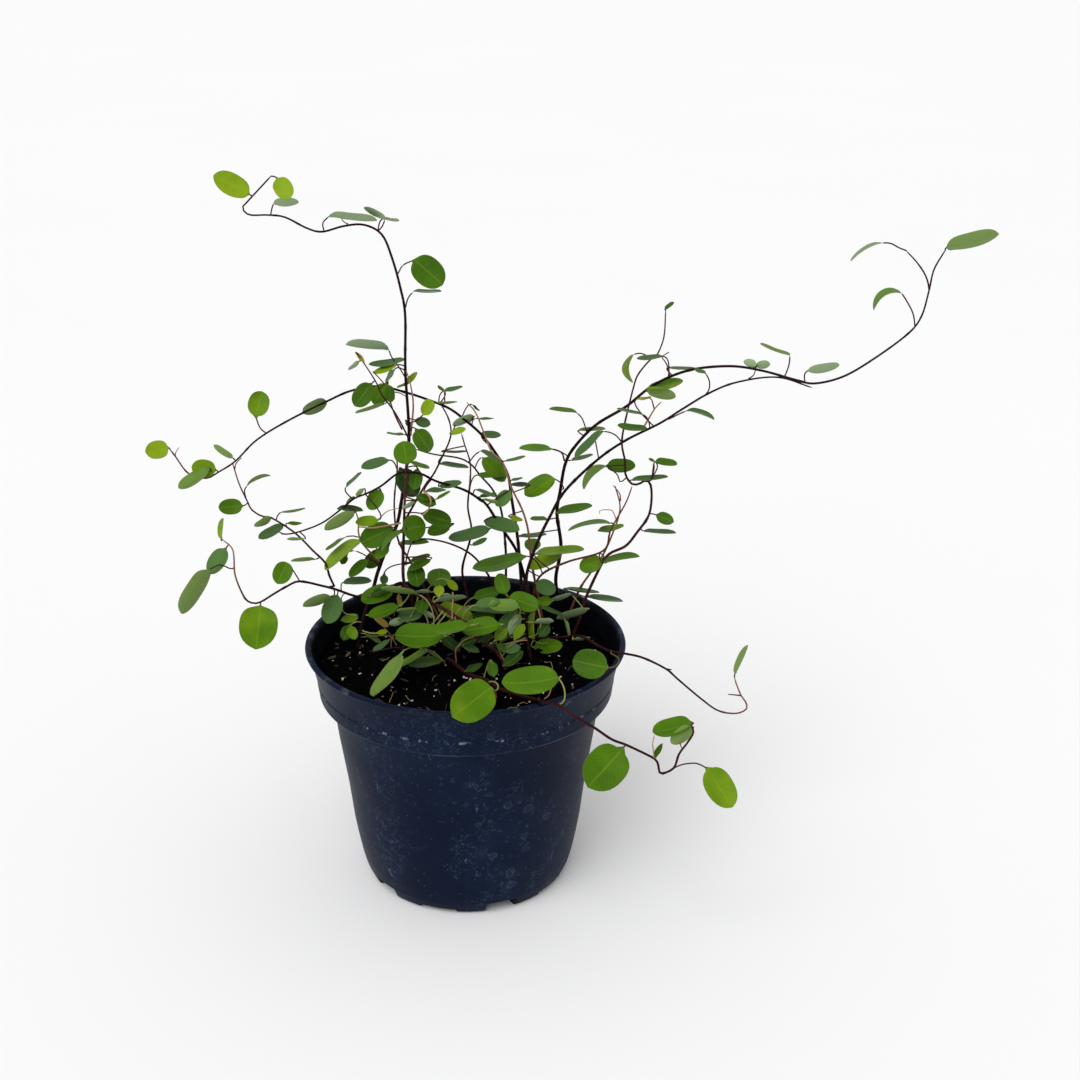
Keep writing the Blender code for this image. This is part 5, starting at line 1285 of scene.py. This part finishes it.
blade_tone = (edge * 0.35).blend(blade_tone, shade(120, 92, 52))
stalk_tone = start.named("fresh").rise(0.1, 0.8).blend(shade(104, 88, 50), shade(150, 156, 88))
stalk_tone = start.named("ruddy").blend(stalk_tone, shade(66, 30, 30))
blade_tone = start.named("stalk").rise(0.4, 1.0).blend(blade_tone, stalk_tone)
relief = (1 - rib) * 0.5 + (1 - veins) * 0.3 + mottle * 0.35
dulled = 0.36 + mottle * 0.16 + start.named("under") * 0.22 + start.named("bloom") * 0.12
plug(skin_shader, Base_Color=blade_tone, Roughness=dulled, Normal=relief.bump(0.25, 0.0003),
     Specular_IOR_Level=0.1)

leaf_dice = np.random.default_rng(41)
for host_name, leaves in LEAVES.items():
    shared = {"points": [], "faces": [], "surface": [], "numbers": {}}
    for order, (base_x, base_z, tip_x, tip_z, width, sort, *said) in enumerate(leaves):
        said = said[0] if said else {}
        host = shoot_paths[host_name]
        fresh_level, bloom, dry, face = SORTS[sort]
        own_depth = nearest_on(host, (base_x, base_z))[1]
        apart = LEAF_STEPS_APART[order % len(LEAF_STEPS_APART)] * (1 + width / 3)
        depth = own_depth - said.get("near", apart)
        if "name" not in said:
            depth = min(depth, float(mix_depth(base_x, min(base_z, tip_z))) - MIX_CLEARANCE)
        base, tip = placed([(base_x, base_z), (tip_x, tip_z)], depth)
        axes = blade_axes(base, tip, width, face, said.get("lean", 0))
        stalk = stalk_points(host, base, axes[0], said.get("stalk"))
        points, sides, place_on, numbers = leaf_form(stalk, base, axes, said.get("bow", 0), leaf_dice)
        rows = len(points)
        points = points.reshape(-1, 3)
        level = np.clip(said.get("fresh", fresh_level) + leaf_dice.uniform(-0.1, 0.1), 0, 1)
        ruddy = said.get("ruddy", base_z > RUDDY_ABOVE or abs(base_x) > RUDDY_BEYOND)
        for label, value in (("fresh", level), ("bloom", bloom), ("dry", dry), ("ruddy", ruddy)):
            numbers[label] = np.full(len(points), value)
        if "name" in said:
            own_name, faces = said["name"], sleeve_faces(rows, sides)
            piece = piece_from("blade_" + own_name, points, faces, leaf_skin, place_on, numbers)
            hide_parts("leaf_" + own_name)
            continue
        shared["faces"] += sleeve_faces(rows, sides, sum(len(made) for made in shared["points"]))
        shared["points"].append(points)
        shared["surface"].append(place_on)
        for label, values in numbers.items():
            shared["numbers"].setdefault(label, []).append(values)
    if shared["points"]:
        carried = {label: np.concatenate(values) for label, values in shared["numbers"].items()}
        piece_from("leaves_" + host_name, np.concatenate(shared["points"]), shared["faces"], leaf_skin,
                   np.concatenate(shared["surface"]), carried)
